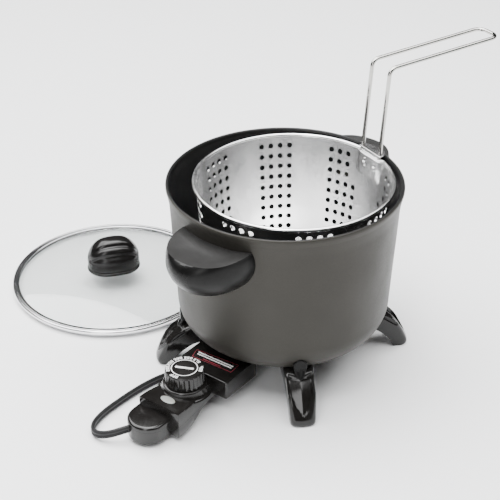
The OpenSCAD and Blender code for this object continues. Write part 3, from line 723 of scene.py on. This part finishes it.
def leg(name, az):
    front = [(p.x, p.y) for p in smooth_line([(u, z, 0) for u, z in LEG_OUT], 1.15)]
    foot = arc(131.2, 3.5, 3.4, 10, -90, 5)[1:] + [(128.5, 0.1), (125, 0.1), (122, 0.1)]
    back = [(p.x, p.y) for p in smooth_line([(u, z, 0) for u, z in LEG_IN], 2.5)]
    back += [(66, 28), (66, 44), (80, 46), (88, 48)]
    nf = len(front)
    slope = []
    for i in range(nf):
        a, b = Vector(front[max(i - 1, 0)]), Vector(front[min(i + 1, nf - 1)])
        t = (b - a).normalized()
        level = ease((front[i][1] - 5) / 9)
        slope.append((t.y if level >= 1 else -1 + (t.y + 1) * level, -t.x * level))
    run = [0.0]
    for a, b in zip(front, front[1:]):
        run.append(run[-1] + (Vector(b) - Vector(a)).length)
    rings = []
    count = 56
    for i in range(count + 1):
        t = -1 + 2 * i / count
        t = math.copysign(1 - (1 - abs(t)) ** 1.35, t)
        ring = []
        for k, (u, z) in enumerate(front + foot + back):
            w = 12.5 + 2.5 * min(1, z / 46)
            v = w * t
            q = max(0, (abs(v) - (w - 3.8)) / 3.8)
            d = 3.7 * (1 - sqrt(max(0, 1 - q * q)))
            if k < nf:
                nx, nz = slope[k]
                # long facet down the front: two shallow faces meeting on the centre line
                low = min(1, max(0, (run[-1] - 7.5 - run[k]) / 24))
                half = (w - 2.4) * (1 - (1 - low) ** 1.8) ** 0.7
                wall = ease((half - abs(v)) / 1.5) * ease((run[k] - 14.5 + 5 * abs(v) / w) / 5)
                d = d * (1 - wall) + wall * (1.5 + 4.6 * (abs(v) / w) ** 1.05)
                u, z = u + nx * d, z + nz * d
            elif k < nf + len(foot):
                f = (k - nf) / len(foot)
                u -= d * (1 - f)
            elif z > 0:
                edge = max(0, abs(t) - 0.93) / 0.07
                z += 0.6 * edge * (1 if u > 84.5 else 0)
            u -= 4.4 * (1 - sqrt(1 - (v / (w + 0.4)) ** 2)) * ease((30 - z) / 22) * ease((u - 112) / 10)
            ring.append((u, v, max(z, 0.1)))
        rings.append(ring)
    body = loft("body", rings, PHENOLIC, sharp=46)
    cuts = []
    for s in (-1, 1):
        pts = []
        for ca, sa in around(30):
            x, y = 13.2 * ca, 2.5 * sa + 1.5 * (1 - ca ** 2)
            pts.append((111 - x * 0.81 + y * 0.58, 34.4 + x * 0.58 + y * 0.81))
        cuts.append(prism("slot", anticlockwise(pts), 12.7, 20, PHENOLIC, bottom=1.2, steps=3,
                          turn=lambda a, b, c, s=s: (a, s * c, b)))

    def face(z):
        """how far out the leg's face stands at height z"""
        return 107.3 + 0.52 * max(0, 49 - z) + 0.004 * max(0, 49 - z) ** 2

    # shield and raised oval pad at the top, against the pot
    shield = [(-6.9, 54.5), (-6.6, 51), (-5.6, 47.5), (-3.9, 44), (-2, 41.2), (0, 40)]
    shield += [(-y, z) for y, z in shield[-2::-1]]
    shield += [(7.4 * cos(radians(a)), 54.5 + 7.2 * sin(radians(a))) for a in range(12, 169, 12)]
    shield = [(p.x, p.y) for p in smooth_line([(a, b, 0) for a, b in shield], 1.3, closed=True)][:-1]
    pad = [(6.5 * cos(2 * pi * k / 40), 54.9 + 6.7 * sin(2 * pi * k / 40) - 0.7 * cos(4 * pi * k / 40))
           for k in range(40)]
    shield_levels = ((-9, 0), (-1.3, 0), (-0.6, 0.5), (-0.15, 1.3), (0.0, 2.4), (0.05, 4.0))
    pad_levels = ((-2, 0), (0.25, 0), (0.62, 0.35), (0.78, 1.1), (0.86, 2.6), (0.88, 4.6))
    plates = []
    for outline, levels in ((shield, shield_levels), (pad, pad_levels)):
        outline = anticlockwise(outline)
        rings = [[(min(face(z) + h, 136), y, z) for y, z in inset(outline, g)] for h, g in levels]
        plates.append(loft("plate", rings, GRIP, sharp=38))
    screw = lathe("hole", [(0, 12), (4.6, 12), (4.6, 29.4), (2.2, 29.5), (2.2, 60), (0, 60)], PHENOLIC, 32,
                  at=(SCREW_R, 0))
    seat = cylinder(6.7, 33.9, 60, PHENOLIC, 40, at=(SCREW_R, 0))
    boolean(body, cuts + [pot_cutter(), screw, seat], sharp=40, solver="MANIFOLD")
    for plate in plates:
        boolean(plate, pot_cutter(), sharp=38)
    ob = join(name, [body] + plates)
    move(ob, Matrix.Rotation(radians(az), 4, "Z"))
    on("fryer", [name.replace("_foot", "")], ob)


for label, az in (("rear_left", 45), ("front_left", 135), ("front_right", 225), ("rear_right", 315)):
    leg("leg_" + label + "_foot", az)


# ---------------- pot grips
def oval(hx, hy, z, cx, n, power=2.0):
    """half oval towards -x, with straight sides running back into the pot"""
    ring = []
    for k in range(n):
        t = -1 + 2 * k / (n - 1)
        a = t * pi / 2
        ring.append((cx - hx * cos(a) ** (2 / power), signed_power(sin(a), 2 / power) * hy, z))
    back, side = 40, 5
    pre = [(cx + back * (side - i) / side, -hy, z) for i in range(side)]
    post = [(cx + back * (i + 1) / side, hy, z) for i in range(side)]
    return pre + ring + post


def grip(name, az):
    rings = []
    cx = -107
    n = 61
    # bowl, from the bottom up to its widest level
    for i in range(22, -1, -1):
        f = sin(pi / 2 * i / 22)
        g = max(0.0, 1 - f ** 1.9) ** (1 / 1.9)
        if g >= 0.02:
            rings.append(oval(57.4 * g, 43.0 * g, 174 - 38.5 * f, cx, n))
    # convex front up to the ridge round the thumb rest
    full = radians(46)
    for i in range(1, 15):
        a = full * i / 14
        k = (1 - cos(a)) / (1 - cos(full))
        z = 174 + 12.1 * sin(a) / sin(full)
        rings.append(oval(57.4 - 6.2 * k, 43.0 - 2.4 * k, z, cx, n, 2.0 + 0.35 * k))

    def rest(x, y, z, k):
        # dished thumb rest
        return (x, y, z + 1.0 * ease((x + 150) / 36) - 2.6 * k * (1 - 0.35 * ease((x + 130) / 20)))

    rings[-1] = [rest(x, y, z, 0) for x, y, z in rings[-1]]
    for k in (0.02, 0.035, 0.06, 0.11, 0.17, 0.24, 0.33, 0.45, 0.58, 0.7, 0.82, 0.92, 0.97):
        ring = oval(51.2 * (1 - k), 40.6 * (1 - k), 186.1, cx, n, 2.35)
        rings.append([rest(x, y, z, ease(0.12 + k / 0.6)) for x, y, z in ring])
    body = loft(name, rings, GRIP, sharp=32)
    seat = prism("lug_seat", rectangle(-129.2, -8.2, -100, 8.2, 1, [0] * 4), 159.8, 171.2, GRIP)
    bore = [(0, 120), (4.6, 120), (4.6, 153.9), (2.2, 154), (2.2, 165), (0, 165)]
    boolean(body, [pot_cutter(), seat, lathe("hole", bore, GRIP, 32, at=(-121, 0))], sharp=32)
    body.name = name
    # upward-facing faces of the thumb rest take the lighter copy: painted light where the top catches the
    # light
    body.data.materials.append(PAINTED_LIT_TOP)
    for p in body.data.polygons:
        if p.normal.z > 0.72 and p.center.z > 0.178:
            p.material_index = len(body.data.materials) - 1
    move(body, Matrix.Rotation(radians(az), 4, "Z"))
    on("fryer", [name.replace("_grip", "")], body)


grip("handle_front_grip", 0)
grip("handle_rear_grip", 180)


# ---------------- basket (frame: u outwards along the wire handle)
AT_BASKET = place(11.5, -2.6, -20)
HOLES = [22 + 45 * k for k in range(8)]      # middle of each group of four, in the basket's own frame
TOP_Z = 199.6
WIRE_U, WIRE_V = 96.4, 14      # where the two legs of the wire handle pass the bracket
BASE_R, BASE_Z = 61, 43.45       # flat bottom
LOW_R, LOW_Z = 86.95, 69.4       # foot of the tapered wall
HIGH_R, HIGH_Z = 98.45, 202      # head of the tapered wall
WALL = [(BASE_R, BASE_Z)] + arc(BASE_R, LOW_Z, 25.95, -90, 0, 16)[1:]      # corner between them


def wall_r(z):
    return LOW_R + (HIGH_R - LOW_R) * (z - LOW_Z) / (HIGH_Z - LOW_Z)


def panel(x, y, z):
    """press the flat panel into the wall, where the bracket is fixed"""
    if x > 85 and z > 172:
        k = ease((18.6 - abs(y)) / 2.4) * ease((z - 174.5) / 2.5)
        x = x + (min(x, 93.4) - x) * k
        dimple = math.exp(-((abs(y) - 14) / 2.2) ** 2) * ease((z - 176) / 4)
        x -= 0.5 * dimple * k
    return (x, y, z)


def basket_mesh():
    edges = []
    for g in HOLES:
        for c in (-9, -3, 3, 9):
            edges.append((g + c - 3, g + c + 3, True))
        edges += [(g + 12 + 7 * i, g + 19 + 7 * i, False) for i in range(3)]
    pitch = 11.7
    rows = [(189.5 - pitch * i - pitch / 2, 189.5 - pitch * i + pitch / 2) for i in range(10)]
    verts, faces, index = [], [], {}

    def vert(a, z, r=None):
        a = a % 360
        rr = wall_r(z) if r is None else r
        key = (round(a, 4) % 360, round(z, 3), round(rr, 3))
        if key not in index:
            index[key] = len(verts)
            verts.append(panel(*polar(rr, a), z))
        return index[key]

    def quad(aa, ab, za, zb, ra=None, rb=None):
        faces.append((vert(aa, za, ra), vert(ab, za, ra), vert(ab, zb, rb), vert(aa, zb, rb)))

    N = 4      # steps along each side of a square cell
    for a0, a1, holed in edges:
        cols = [a0 + (a1 - a0) * i / N for i in range(N + 1)]
        for z0, z1 in rows:
            heights = [z0 + (z1 - z0) * j / N for j in range(N + 1)]
            mid = ((a0 + a1) / 2 + 180) % 360 - 180
            skip = abs(mid) < 17 and z1 > 170
            if holed and not skip:
                square = [(a, z0) for a in cols[:-1]] + [(a1, z) for z in heights[:-1]]
                square += [(a1 - (a1 - a0) * i / N, z1) for i in range(N)]
                square += [(a0, z1 - (z1 - z0) * i / N) for i in range(N)]
                am, zm = (a0 + a1) / 2, (z0 + z1) / 2
                wide = radians(1) * wall_r(zm)
                loops = [[vert(*p) for p in square]]
                for hr in (3.35, 2.85):
                    ring = []
                    for p in square:
                        t = math.atan2(p[1] - zm, (p[0] - am) * wide)
                        ring.append(vert(am + hr * cos(t) / wide, zm + hr * sin(t)))
                    loops.append(ring)
                for A, B in zip(loops, loops[1:]):
                    for k in range(4 * N):
                        j = (k + 1) % (4 * N)
                        faces.append((A[k], A[j], B[j], B[k]))
            else:
                for aa, ab in zip(cols, cols[1:]):
                    for za, zb in zip(heights, heights[1:]):
                        quad(aa, ab, za, zb)
        # plain band under the rim, and the wall and corner below the holes
        levels = [TOP_Z - (TOP_Z - rows[0][1]) * i / 2 for i in range(3)]
        low = [(wall_r(rows[-1][0]), rows[-1][0]), (wall_r(75), 75)] + WALL[::-1]
        for aa, ab in zip(cols, cols[1:]):
            for zb, za in zip(levels, levels[1:]):
                quad(aa, ab, za, zb)
            for (rb, zb), (ra, za) in zip(low, low[1:]):
                quad(aa, ab, za, zb, ra, rb)
    # bottom disc with rings of holes
    rim = sorted({round((a0 + (a1 - a0) * i / N) % 360, 4) for a0, a1, _ in edges for i in range(N)})
    pts = [Vector(polar(BASE_R, q)) for q in rim]
    count = len(pts)
    seg = [(i, (i + 1) % count) for i in range(count)]
    centres = [(0, 0)]
    for ring, n in ((13, 6), (26, 12), (39, 18), (52, 24)):
        turns = [2 * pi * (k + 0.5) / n for k in range(n)]
        centres += [(ring * cos(t), ring * sin(t)) for t in turns]
    for cx, cy in centres:
        base = len(pts)
        pts += [Vector((cx + 2.85 * c, cy + 2.85 * s)) for c, s in around(16)]
        seg += [(base + k, base + (k + 1) % 16) for k in range(16)]
    co, _, tris, *_ = geometry.delaunay_2d_cdt(pts, seg, [], 1, 1e-6)
    ids = []
    for i, p in enumerate(co):
        if i < count:
            ids.append(vert(rim[i], BASE_Z, BASE_R))
        else:
            ids.append(len(verts))
            verts.append((p.x, p.y, BASE_Z))
    for t in tris:
        c = sum((co[i] for i in t), Vector((0, 0))) / len(t)
        if not any((c.x - cx) ** 2 + (c.y - cy) ** 2 < 2.7 ** 2 for cx, cy in centres):
            faces.append(tuple(ids[i] for i in t)[::-1])
    return verts, faces


verts, faces = basket_mesh()
bowl = mesh("basket_bowl", verts, faces, BASKET)
m = bowl.modifiers.new("sheet", "SOLIDIFY")
m.thickness = 1.1 * MM
m.offset = -1
m.use_even_offset = True
apply_all(bowl)
tidy(bowl, 38)

edge = [(*polar(99.5, 10.6 + 338.8 * i / 150), 200) for i in range(151)]
notch = [(96.4, -16.9, 200.2), (93.6, -15.6, 200.3), (92.4, -12.6, 200.3), (92.3, -6, 200.3)]
edge += notch + [(x, -y, z) for x, y, z in notch[::-1]]
edge = smooth_line(edge, 2.2, closed=True)[:-1]
rings = []
for i, p in enumerate(edge):
    d = (edge[(i + 1) % len(edge)] - edge[i - 1]).normalized()
    side = Vector((d.y, -d.x, 0))
    thin = ease((sqrt(p.x ** 2 + p.y ** 2) - 94.5) / 4.5)
    r = 1.15 + 0.83 * thin
    rings.append([tuple(p + side * r * c + Vector((0, 0, r * s))) for c, s in around(18)])
rolled = loft("rolled_rim", rings, RIM, join=True, sharp=60)
basket = join("basket_perforated", [bowl, rolled])
move(basket, AT_BASKET)
on("basket_body", ["basket"], basket)

# bracket
corners = [(93.7, -16.9, 1), (99.5, -16.9, 3), (105.5, -9.5, 3)]
corners += [(x, -y, r) for x, y, r in corners[::-1]]
plate = prism("plate", rounded(corners, 5), 204.85, 206.15, RIM, top=0.45, bottom=0.45)
back = prism("back", rectangle(-13, 184, 13, 205.7, 5, (2, 2, 0.3, 0.3)), 93.66, 94.88, RIM,
             top=0.4, bottom=0.3, turn=lambda a, b, c: (c, a, b))
tab = prism("tab", rectangle(93.8, -16.6, 98.6, 16.6, 5, (0.3, 3, 3, 0.3)), 184, 185.35, RIM, top=0.4,
            bottom=0.4)
for piece in (plate, tab):
    boolean(piece, [cylinder(2.35, 180, 210, RIM, 32, at=(WIRE_U, s * WIRE_V)) for s in (-1, 1)], sharp=35)
hook = join("basket_bracket", [plate, back, tab])
move(hook, AT_BASKET)
on("basket_body", ["basket_hook"], hook)


# ---------------- wire handle
def handle_path():
    lean, rise = radians(4.3), radians(1.2)
    foot_r, bend_r, end_r = 20, 8, 9      # above the bracket, at the top corner and across the far end
    z0, z1 = 184.4, 210.0
    half = [(WIRE_U, z0), (WIRE_U, z1 - 8), (WIRE_U, z1)]
    for i in range(1, 5):
        t = lean * i / 4
        half.append((WIRE_U + foot_r * (1 - cos(t)), z1 + foot_r * sin(t)))
    u, z = half[-1]
    tuck = bend_r * math.tan((pi / 2 - lean - rise) / 2)
    arm = (89 - foot_r * sin(lean)) / cos(lean) - tuck
    for i in range(1, 5):
        half.append((u + arm * sin(lean) * i / 4, z + arm * cos(lean) * i / 4))
    u, z = half[-1]
    cu, cz = u + bend_r * cos(lean), z - bend_r * sin(lean)
    for i in range(1, 13):
        t = (pi / 2 - lean - rise) * i / 12
        half.append((cu - bend_r * cos(lean + t), cz + bend_r * sin(lean + t)))
    u, z = half[-1]
    run = (246 - 2.1 - end_r - u) / cos(rise)
    for i in range(1, 9):
        half.append((u + run * cos(rise) * i / 8, z + run * sin(rise) * i / 8))
    u, z = half[-1]
    path = [(a, WIRE_V, b) for a, b in half]
    for i in range(1, 9):
        t = pi / 2 * i / 8
        reach = end_r * sin(t)
        path.append((u + reach * cos(rise), WIRE_V - end_r * (1 - cos(t)), z + reach * sin(rise)))
    mirrored = [(a, -b, c) for a, b, c in path[::-1]]
    return path + [(path[-1][0], 0, path[-1][2])] + mirrored


wire = tube("basket_handle_wire", handle_path(), 2.1, WIRE, n=24)
move(wire, AT_BASKET)
on("handle_body", ["basket_handle"], wire)


# ---------------- lid
AT_LID = place(-9, 232)
DOME = 463.2      # radius of the glass
BORE, EDGE = 3.05, 108.2      # where the dome starts and where its flat edge starts
TOP, UNDER = 20, 16.02      # crown of its two faces


def dome_z(r, top):
    return top - DOME + sqrt(DOME ** 2 - r * r)


radii = [BORE + (EDGE - BORE) * i / 26 for i in range(27)]
top_face = [(r, dome_z(r, TOP)) for r in radii]
under = [(r, dome_z(r, UNDER)) for r in radii[::-1]]
edge = rounded([(EDGE, dome_z(EDGE, TOP), 0), (110.9, dome_z(110.9, TOP), 0.8),
                (110.9, dome_z(110.9, UNDER), 0.8), (EDGE, dome_z(EDGE, UNDER), 0)], 4, closed=False)[1:-1]
glass = lathe("lid_glass_dome", top_face + edge + under, GLASS, 160, closed=True)
move(glass, AT_LID)
on("lid_body", ["lid_glass"], glass)

R = 115.8
# the band's section, as distances in from its outer radius
section = [(7.3, 1.6, 0.2), (7.3, 0.8, 0.3), (5.8, 0.02, 0.4), (3.3, 0.02, 0.9), (2.9, 3.2, 0.5),
           (0.7, 4.0, 0.7),
           (0.05, 5.2, 0.6), (0.05, 7.6, 1.2), (1.3, 8.75, 0.8), (2.7, 8.75, 0.3), (3.0, 8.35, 0.15),
           (3.5, 8.35, 0.15), (3.8, 8.75, 0.3), (6.9, 8.75, 0.4), (7.3, 8.4, 0.2), (7.3, 7.9, 0.1),
           (4.5, 7.9, 0), (4.5, 1.6, 0)]
band = lathe("lid_band", rounded([(R - d, z, r) for d, z, r in section], 4), BAND, 224, closed=True, sharp=30)
move(band, AT_LID)
on("lid_body", ["lid_rim"], band)


def knob():
    z0, top, n = 20.35, 57.2, 96
    rings = []
    foot = ((6, z0), (0.6, z0), (0.1, z0 + 0.4), (0, z0 + 1.2), (0.3, z0 + 2.2), (1.2, z0 + 3.0),
            (2.6, z0 + 3.5), (3.6, z0 + 3.7))
    for g, z in foot:
        rings.append([(7 * math.tanh(6 * c) + (23.2 - g) * c, (23.2 - g) * s, z) for c, s in around(n)])
    flange = loft("flange", rings, KNOB, sharp=50)
    # rounded body whose sections across its length carry lobes, closing in at both ends
    rings, m = [], 44
    for i in range(m + 1):
        x = -29.2 * cos(pi * i / m)
        e = max(0.03, 1 - (abs(x) / 29.4) ** 2.9) ** 0.5
        ring = []
        for k in range(n):
            a = 2 * pi * k / n
            up = sin(a) > 0
            lobe = 1.0
            if up:
                w = a / pi * 180
                for centre, deep in ((32, 0.075), (62, 0.085), (118, 0.085), (148, 0.075)):
                    lobe -= deep * math.exp(-((w - centre) / 5.5) ** 2) * min(1, 1.5 * e)
            y = 22.2 * e * lobe * signed_power(cos(a), 0.86)
            h = (top - 26.5) * (0.42 + 0.58 * e ** 1.5) * e ** 0.2
            z = 26.5 + (h * abs(sin(a)) ** 0.92 * lobe if up else -3.6 * abs(sin(a)) ** 0.6)
            ring.append((x, y, z))
        rings.append(ring)
    body = loft("dome", rings, KNOB, sharp=34)
    for piece, z in ((flange, 40), (body, 39)):
        boolean(piece, cylinder(2.06, 10, z, KNOB, 32), sharp=34)
    ob = join("lid_knob_grip", [flange, body])
    move(ob, AT_LID @ Matrix.Rotation(radians(-38), 4, "Z"))
    on("lid_body", ["lid_knob"], ob)


knob()


# ---------------- heat control
CY = 13.0          # middle of the control across the fryer
DIAL_X = -146      # axis of the dial


def slab_section(x, half, z0, zs, crown):
    """section across the middle housing: flat underside, upright sides and a crowned top"""
    n, r = 11, 1.4
    ring = [(x, CY - half + r, z0), (x, CY + half - r, z0), (x, CY + half - 0.4 * r, z0 + 0.4 * r)]
    ring += [(x, CY + half, z0 + r)]
    ring += [(x, CY + half, z0 + (zs - r - z0) * f) for f in (0.33, 0.66, 1)]
    ring += [(x, CY + half - 0.3 * r, zs - 0.3 * r)]
    for k in range(n):
        t = 1 - 2 * k / (n - 1)
        ring.append((x, CY + (half - r) * t, zs + (crown - zs) * (1 - t * t)))
    ring += [(x, CY - half + 0.3 * r, zs - 0.3 * r)]
    ring += [(x, CY - half, z0 + (zs - r - z0) * f) for f in (1, 0.66, 0.33)]
    ring += [(x, CY - half, z0 + r), (x, CY - half + 0.4 * r, z0 + 0.4 * r)]
    return ring


def spline(table, x):
    """smooth interpolation in a table of rows whose first column rises"""
    if x <= table[0][0]:
        return table[0][1:]
    for i in range(len(table) - 1):
        if table[i][0] <= x <= table[i + 1][0]:
            p = [table[max(i - 1, 0)], table[i], table[i + 1], table[min(i + 2, len(table) - 1)]]
            t = (x - p[1][0]) / (p[2][0] - p[1][0])
            return [catmull(a, b, c, d, t) for a, b, c, d in zip(*[q[1:] for q in p])]
    return table[-1][1:]


MIDDLE = [(-186, 24.9, 5.1, 33.6, 34.9), (-176, 24.6, 5.1, 33.4, 35), (-166, 23.8, 6.0, 32.6, 35),
          (-156, 22.6, 9.2, 31.6, 34.8), (-148, 21.9, 13.8, 30.2, 34.2), (-137, 20.9, 15.9, 28.6, 33.2),
          (-126, 20.2, 16.1, 27.6, 32.2),
          (-116, 19.9, 16.1, 27, 31.4)]      # x, half width, base, shoulder, crown


def control_shell():
    parts = []
    rings = []
    xs = [-186.0] + [-185.6 + 1.2 * i for i in range(58)] + [-116.2]
    for i, x in enumerate(xs):
        half, z0, zs, crown = spline(MIDDLE, x)
        if i == 0:
            half, z0, zs, crown = half - 0.5, z0 + 0.5, zs - 0.5, crown - 0.5
        rings.append(slab_section(x, half, z0, zs, crown))
    parts.append(loft("middle", rings, PHENOLIC, sharp=34))
    block = rectangle(-122, -19.5, -72, 45.5, 5, (1.6, 2.2, 2.2, 1.6))
    parts.append(prism("block", block, 16.05, 35.95, PHENOLIC, top=1.0, bottom=1.0))
    # round boss under the dial, running out into the crown
    slope = [(27.2 - 5.4 * f ** 0.55, 30.5 + 8.2 * f ** 1.35) for f in [i / 10 for i in range(11)]]
    parts.append(lathe("boss", [(0, 26)] + slope + [(21.4, 39.2), (20.9, 39.4), (0, 39.4)], PHENOLIC, 96,
                       at=(DIAL_X, CY)))
    # lower rounded tail round the cord entry
    tail = [(-184, CY - 15)] + [polar(20.9, a, -194, 19) for a in range(250, 89, -8)] + [(-184, 39.9)]
    parts.append(prism("tail", anticlockwise(tail), 4.1, 24, PHENOLIC, top=3.2, bottom=1.6, steps=6))
    parts += [lathe("pin", [(0, 23), (1.0, 23), (1.0, 24.1), (0.7, 24.35), (0, 24.4)], PHENOLIC, 24, at=p)
              for p in ((-196.7, 28.3), (-198.9, 8.9))]
    return parts


parts = control_shell()
upper, lower = [], []
SEAM = 18.5
for piece in parts:
    for keep, out in ((1, upper), (-1, lower)):
        me = piece.data.copy()
        half = bpy.data.objects.new(piece.name, me)
        scene.collection.objects.link(half)
        bm = bmesh.new()
        bm.from_mesh(me)
        level = (SEAM + 0.06 * keep) * MM
        bmesh.ops.bisect_plane(bm, geom=bm.verts[:] + bm.edges[:] + bm.faces[:], plane_co=(0, 0, level),
                               plane_no=(0, 0, 1), clear_outer=keep < 0, clear_inner=keep > 0)
        bm.to_mesh(me)
        bm.free()
        if len(me.polygons) > 3:
            out.append(half)
        else:
            bpy.data.objects.remove(half)
    bpy.data.objects.remove(piece)


upper_ob = join("control_upper_shell", upper)
lower_ob = join("control_lower_shell", lower)
for ob in (upper_ob, lower_ob):
    m = ob.modifiers.new("wall", "SOLIDIFY")
    m.thickness = 1.6 * MM
    m.offset = -1
    apply_all(ob)
    tidy(ob, 34, flip=False)
on("control_body", ["control_upper_housing"], upper_ob)
on("control_body", ["control_lower_housing"], lower_ob)


def flat_bar(name, a, b, width, z0, z1, mats):
    """a printed bar from point a to point b"""
    a, b = Vector(a), Vector(b)
    d = (b - a).normalized()
    s = Vector((-d.y, d.x)) * width / 2
    return prism(name, [tuple(a + s), tuple(a - s), tuple(b - s), tuple(b + s)], z0, z1, mats)


# label: dark plate with a thin red frame and plain bars
corners = [(-94.6, 40.0), (-108, 36.2), (-105.9, -13.3), (-90.2, -12.4)]
label = [prism("label", rounded([(x, y, 1.2) for x, y in corners], 4), 36.05, 36.3, LABEL)]
ways = ((-1, -1), (1, -1), (1, 1), (-1, 1))
inner = rounded([(x + sx * 1.25, y + sy * 1.25, 0.8) for (x, y), (sx, sy) in zip(corners, ways)], 4)
outer = rounded([(x + sx * 0.7, y + sy * 0.7, 1) for (x, y), (sx, sy) in zip(corners, ways)], 4)
n = len(outer)
frame_verts = [(x, y, z) for z in (36.3, 36.4) for ring in (outer, inner) for x, y in ring]
frame_faces = []
for k in range(n):
    j = (k + 1) % n
    frame_faces += [(2 * n + k, 2 * n + j, 3 * n + j, 3 * n + k), (j, 2 * n + j, 2 * n + k, k),
                    (n + k, 3 * n + k, 3 * n + j, n + j), (n + k, n + j, j, k)]
label.append(mesh("frame", frame_verts, frame_faces, RED_PRINT))
label += [flat_bar("bar", (-97.6, 35), (-96.4, -8.6), 1.5, 36.3, 36.4, PRINT),
          flat_bar("bar", (-100.6, 33.9), (-99.4, -8.6), 1.5, 36.3, 36.4, PRINT),
          flat_bar("bar", (-104.2, 24), (-103.6, 2.5), 1.3, 36.3, 36.4, RED_PRINT)]
on("control_body", ["label_plate"], join("label_face", label))

# signal lens: low oval dome, its pale grey colour painting in the highlight that the housing reflects there
rings = []
for g, z in ((0, 34.2), (0, 35.0), (0.12, 35.2), (0.5, 35.36), (1.4, 35.48), (2.8, 35.54)):
    rings.append([(-175 + (4.4 - g) * c, 10.5 + (8.4 - g) * s, z) for c, s in around(40)])
on("control_body", ["pilot_lens"], loft("signal_lens", rings, LENS_PAINTED_HIGHLIGHT))

# strain relief: ribbed sleeve that narrows along the cord
start, end = Vector((-199.3, 22.2, 14)), Vector((-212.5, 29.8, 14))
run = (end - start).normalized()
side = Vector((-run.y, run.x, 0))
rings = []
length = 24.0
base = start - run * 8.5
for i in range(49):
    s = length * i / 48
    r = 5.3 - 2.3 * (s / length) ** 1.2
    if s > 9:
        r -= 0.35 * (0.5 - 0.5 * cos(2 * pi * (s - 9) / 2.6))
    p = base + run * s
    rings.append([tuple(p + side * (r * 0.86) * ca + Vector((0, 0, (r + 0.7) * 0.92 * sa)))
                  for ca, sa in around(36)])
on("control_body", ["strain_relief"], loft("cord_sleeve", rings, RUBBER, sharp=60))


# ---------------- dial
def at_dial(ob):
    move(ob, place(DIAL_X, CY))
    return ob


rings = []
n = 288
SKIRT = ((17, 40.0, 0), (19.2, 40.0, 0.3), (19.75, 40.5, 1), (19.6, 44, 1), (19.45, 49, 1), (19.3, 52.6, 1),
         (19.15, 53.6, 0.7), (18.8, 54.2, 0.25), (18.3, 54.42, 0),
         (17, 54.44, 0))      # radius, height, groove
for r0, z, rib in SKIRT:
    ring = []
    for c, s in around(n):
        groove = 0.5 - 0.5 * cos(24 * 2 * pi * len(ring) / n)
        r = r0 - 0.85 * rib * groove ** 6
        ring.append((r * c, r * s, z))
    rings.append(ring)
knob_body = loft("skirt", rings, PHENOLIC, sharp=50)
boolean(knob_body, cylinder(3.3, 39, 50, PHENOLIC, 40), sharp=50)
on("dial_body", ["dial_knob"], at_dial(knob_body))

GLYPHS = {
    "0": "111101101101111", "2": "111001111100111", "3": "111001111001111", "5": "111100111001111",
          "7": "111001001001001",
    "4": "101101111001001", "O": "111101101101111", "F": "111100111100100"}


def word(text, az, r, h=3.4, w=2.3, gap=0.75):
    """small block characters set round the dial, each made of raised strokes"""
    verts, faces = [], []
    step = h / 5
    cell = w / 3
    total = len(text) * w + (len(text) - 1) * gap
    for i, ch in enumerate(text):
        bits = GLYPHS[ch]
        for row in range(5):
            c = 0
            while c < 3:
                if bits[row * 3 + c] == "1":
                    c1 = c
                    while c1 < 3 and bits[row * 3 + c1] == "1":
                        c1 += 1
                    x0 = -total / 2 + i * (w + gap) + c * cell
                    x1 = -total / 2 + i * (w + gap) + c1 * cell
                    y1, y0 = h / 2 - row * step, h / 2 - (row + 1) * step
                    b = len(verts)
                    for z in (54.96, 55.08):
                        for x, y in ((x0, y0), (x1, y0), (x1, y1), (x0, y1)):
                            rr, aa = r + y, radians(az) - x / r
                            verts.append((rr * cos(aa), rr * sin(aa), z))
                    faces.append((b + 4, b + 5, b + 6, b + 7))
                    faces += [(b + k, b + (k + 1) % 4, b + 4 + (k + 1) % 4, b + 4 + k) for k in range(4)]
                    faces.append((b + 3, b + 2, b + 1, b))
                    c = c1
                else:
                    c += 1
    return mesh("mark", verts, faces, PRINT, sharp=30)


plate = lathe("plate", [(0, 54.46), (18.2, 54.46), (18.5, 54.7), (18.3, 54.95), (0, 55.0)], PHENOLIC, 96)
ring = lathe("ring", [(12.4, 54.97), (12.4, 55.06), (13.3, 55.06), (13.3, 54.97)], PRINT, 120, closed=True)
MARKS = (("OFF", -178), ("200", 132.7), ("250", 98.6), ("300", 62.3), ("350", 26.2), ("375", -8.5),
         ("400", -59.9))
marks = [word(text, az, 16.5) for text, az in MARKS]
pointer = prism("pointer", rectangle(-9.2, -1.4, 9.2, 1.4, 4, [0.7] * 4), 54.99, 55.06, PRINT)
move(pointer, Matrix.Rotation(radians(115), 4, "Z"))
on("dial_body", ["dial_plate"], at_dial(join("dial_face", [plate, ring, pointer] + marks)))
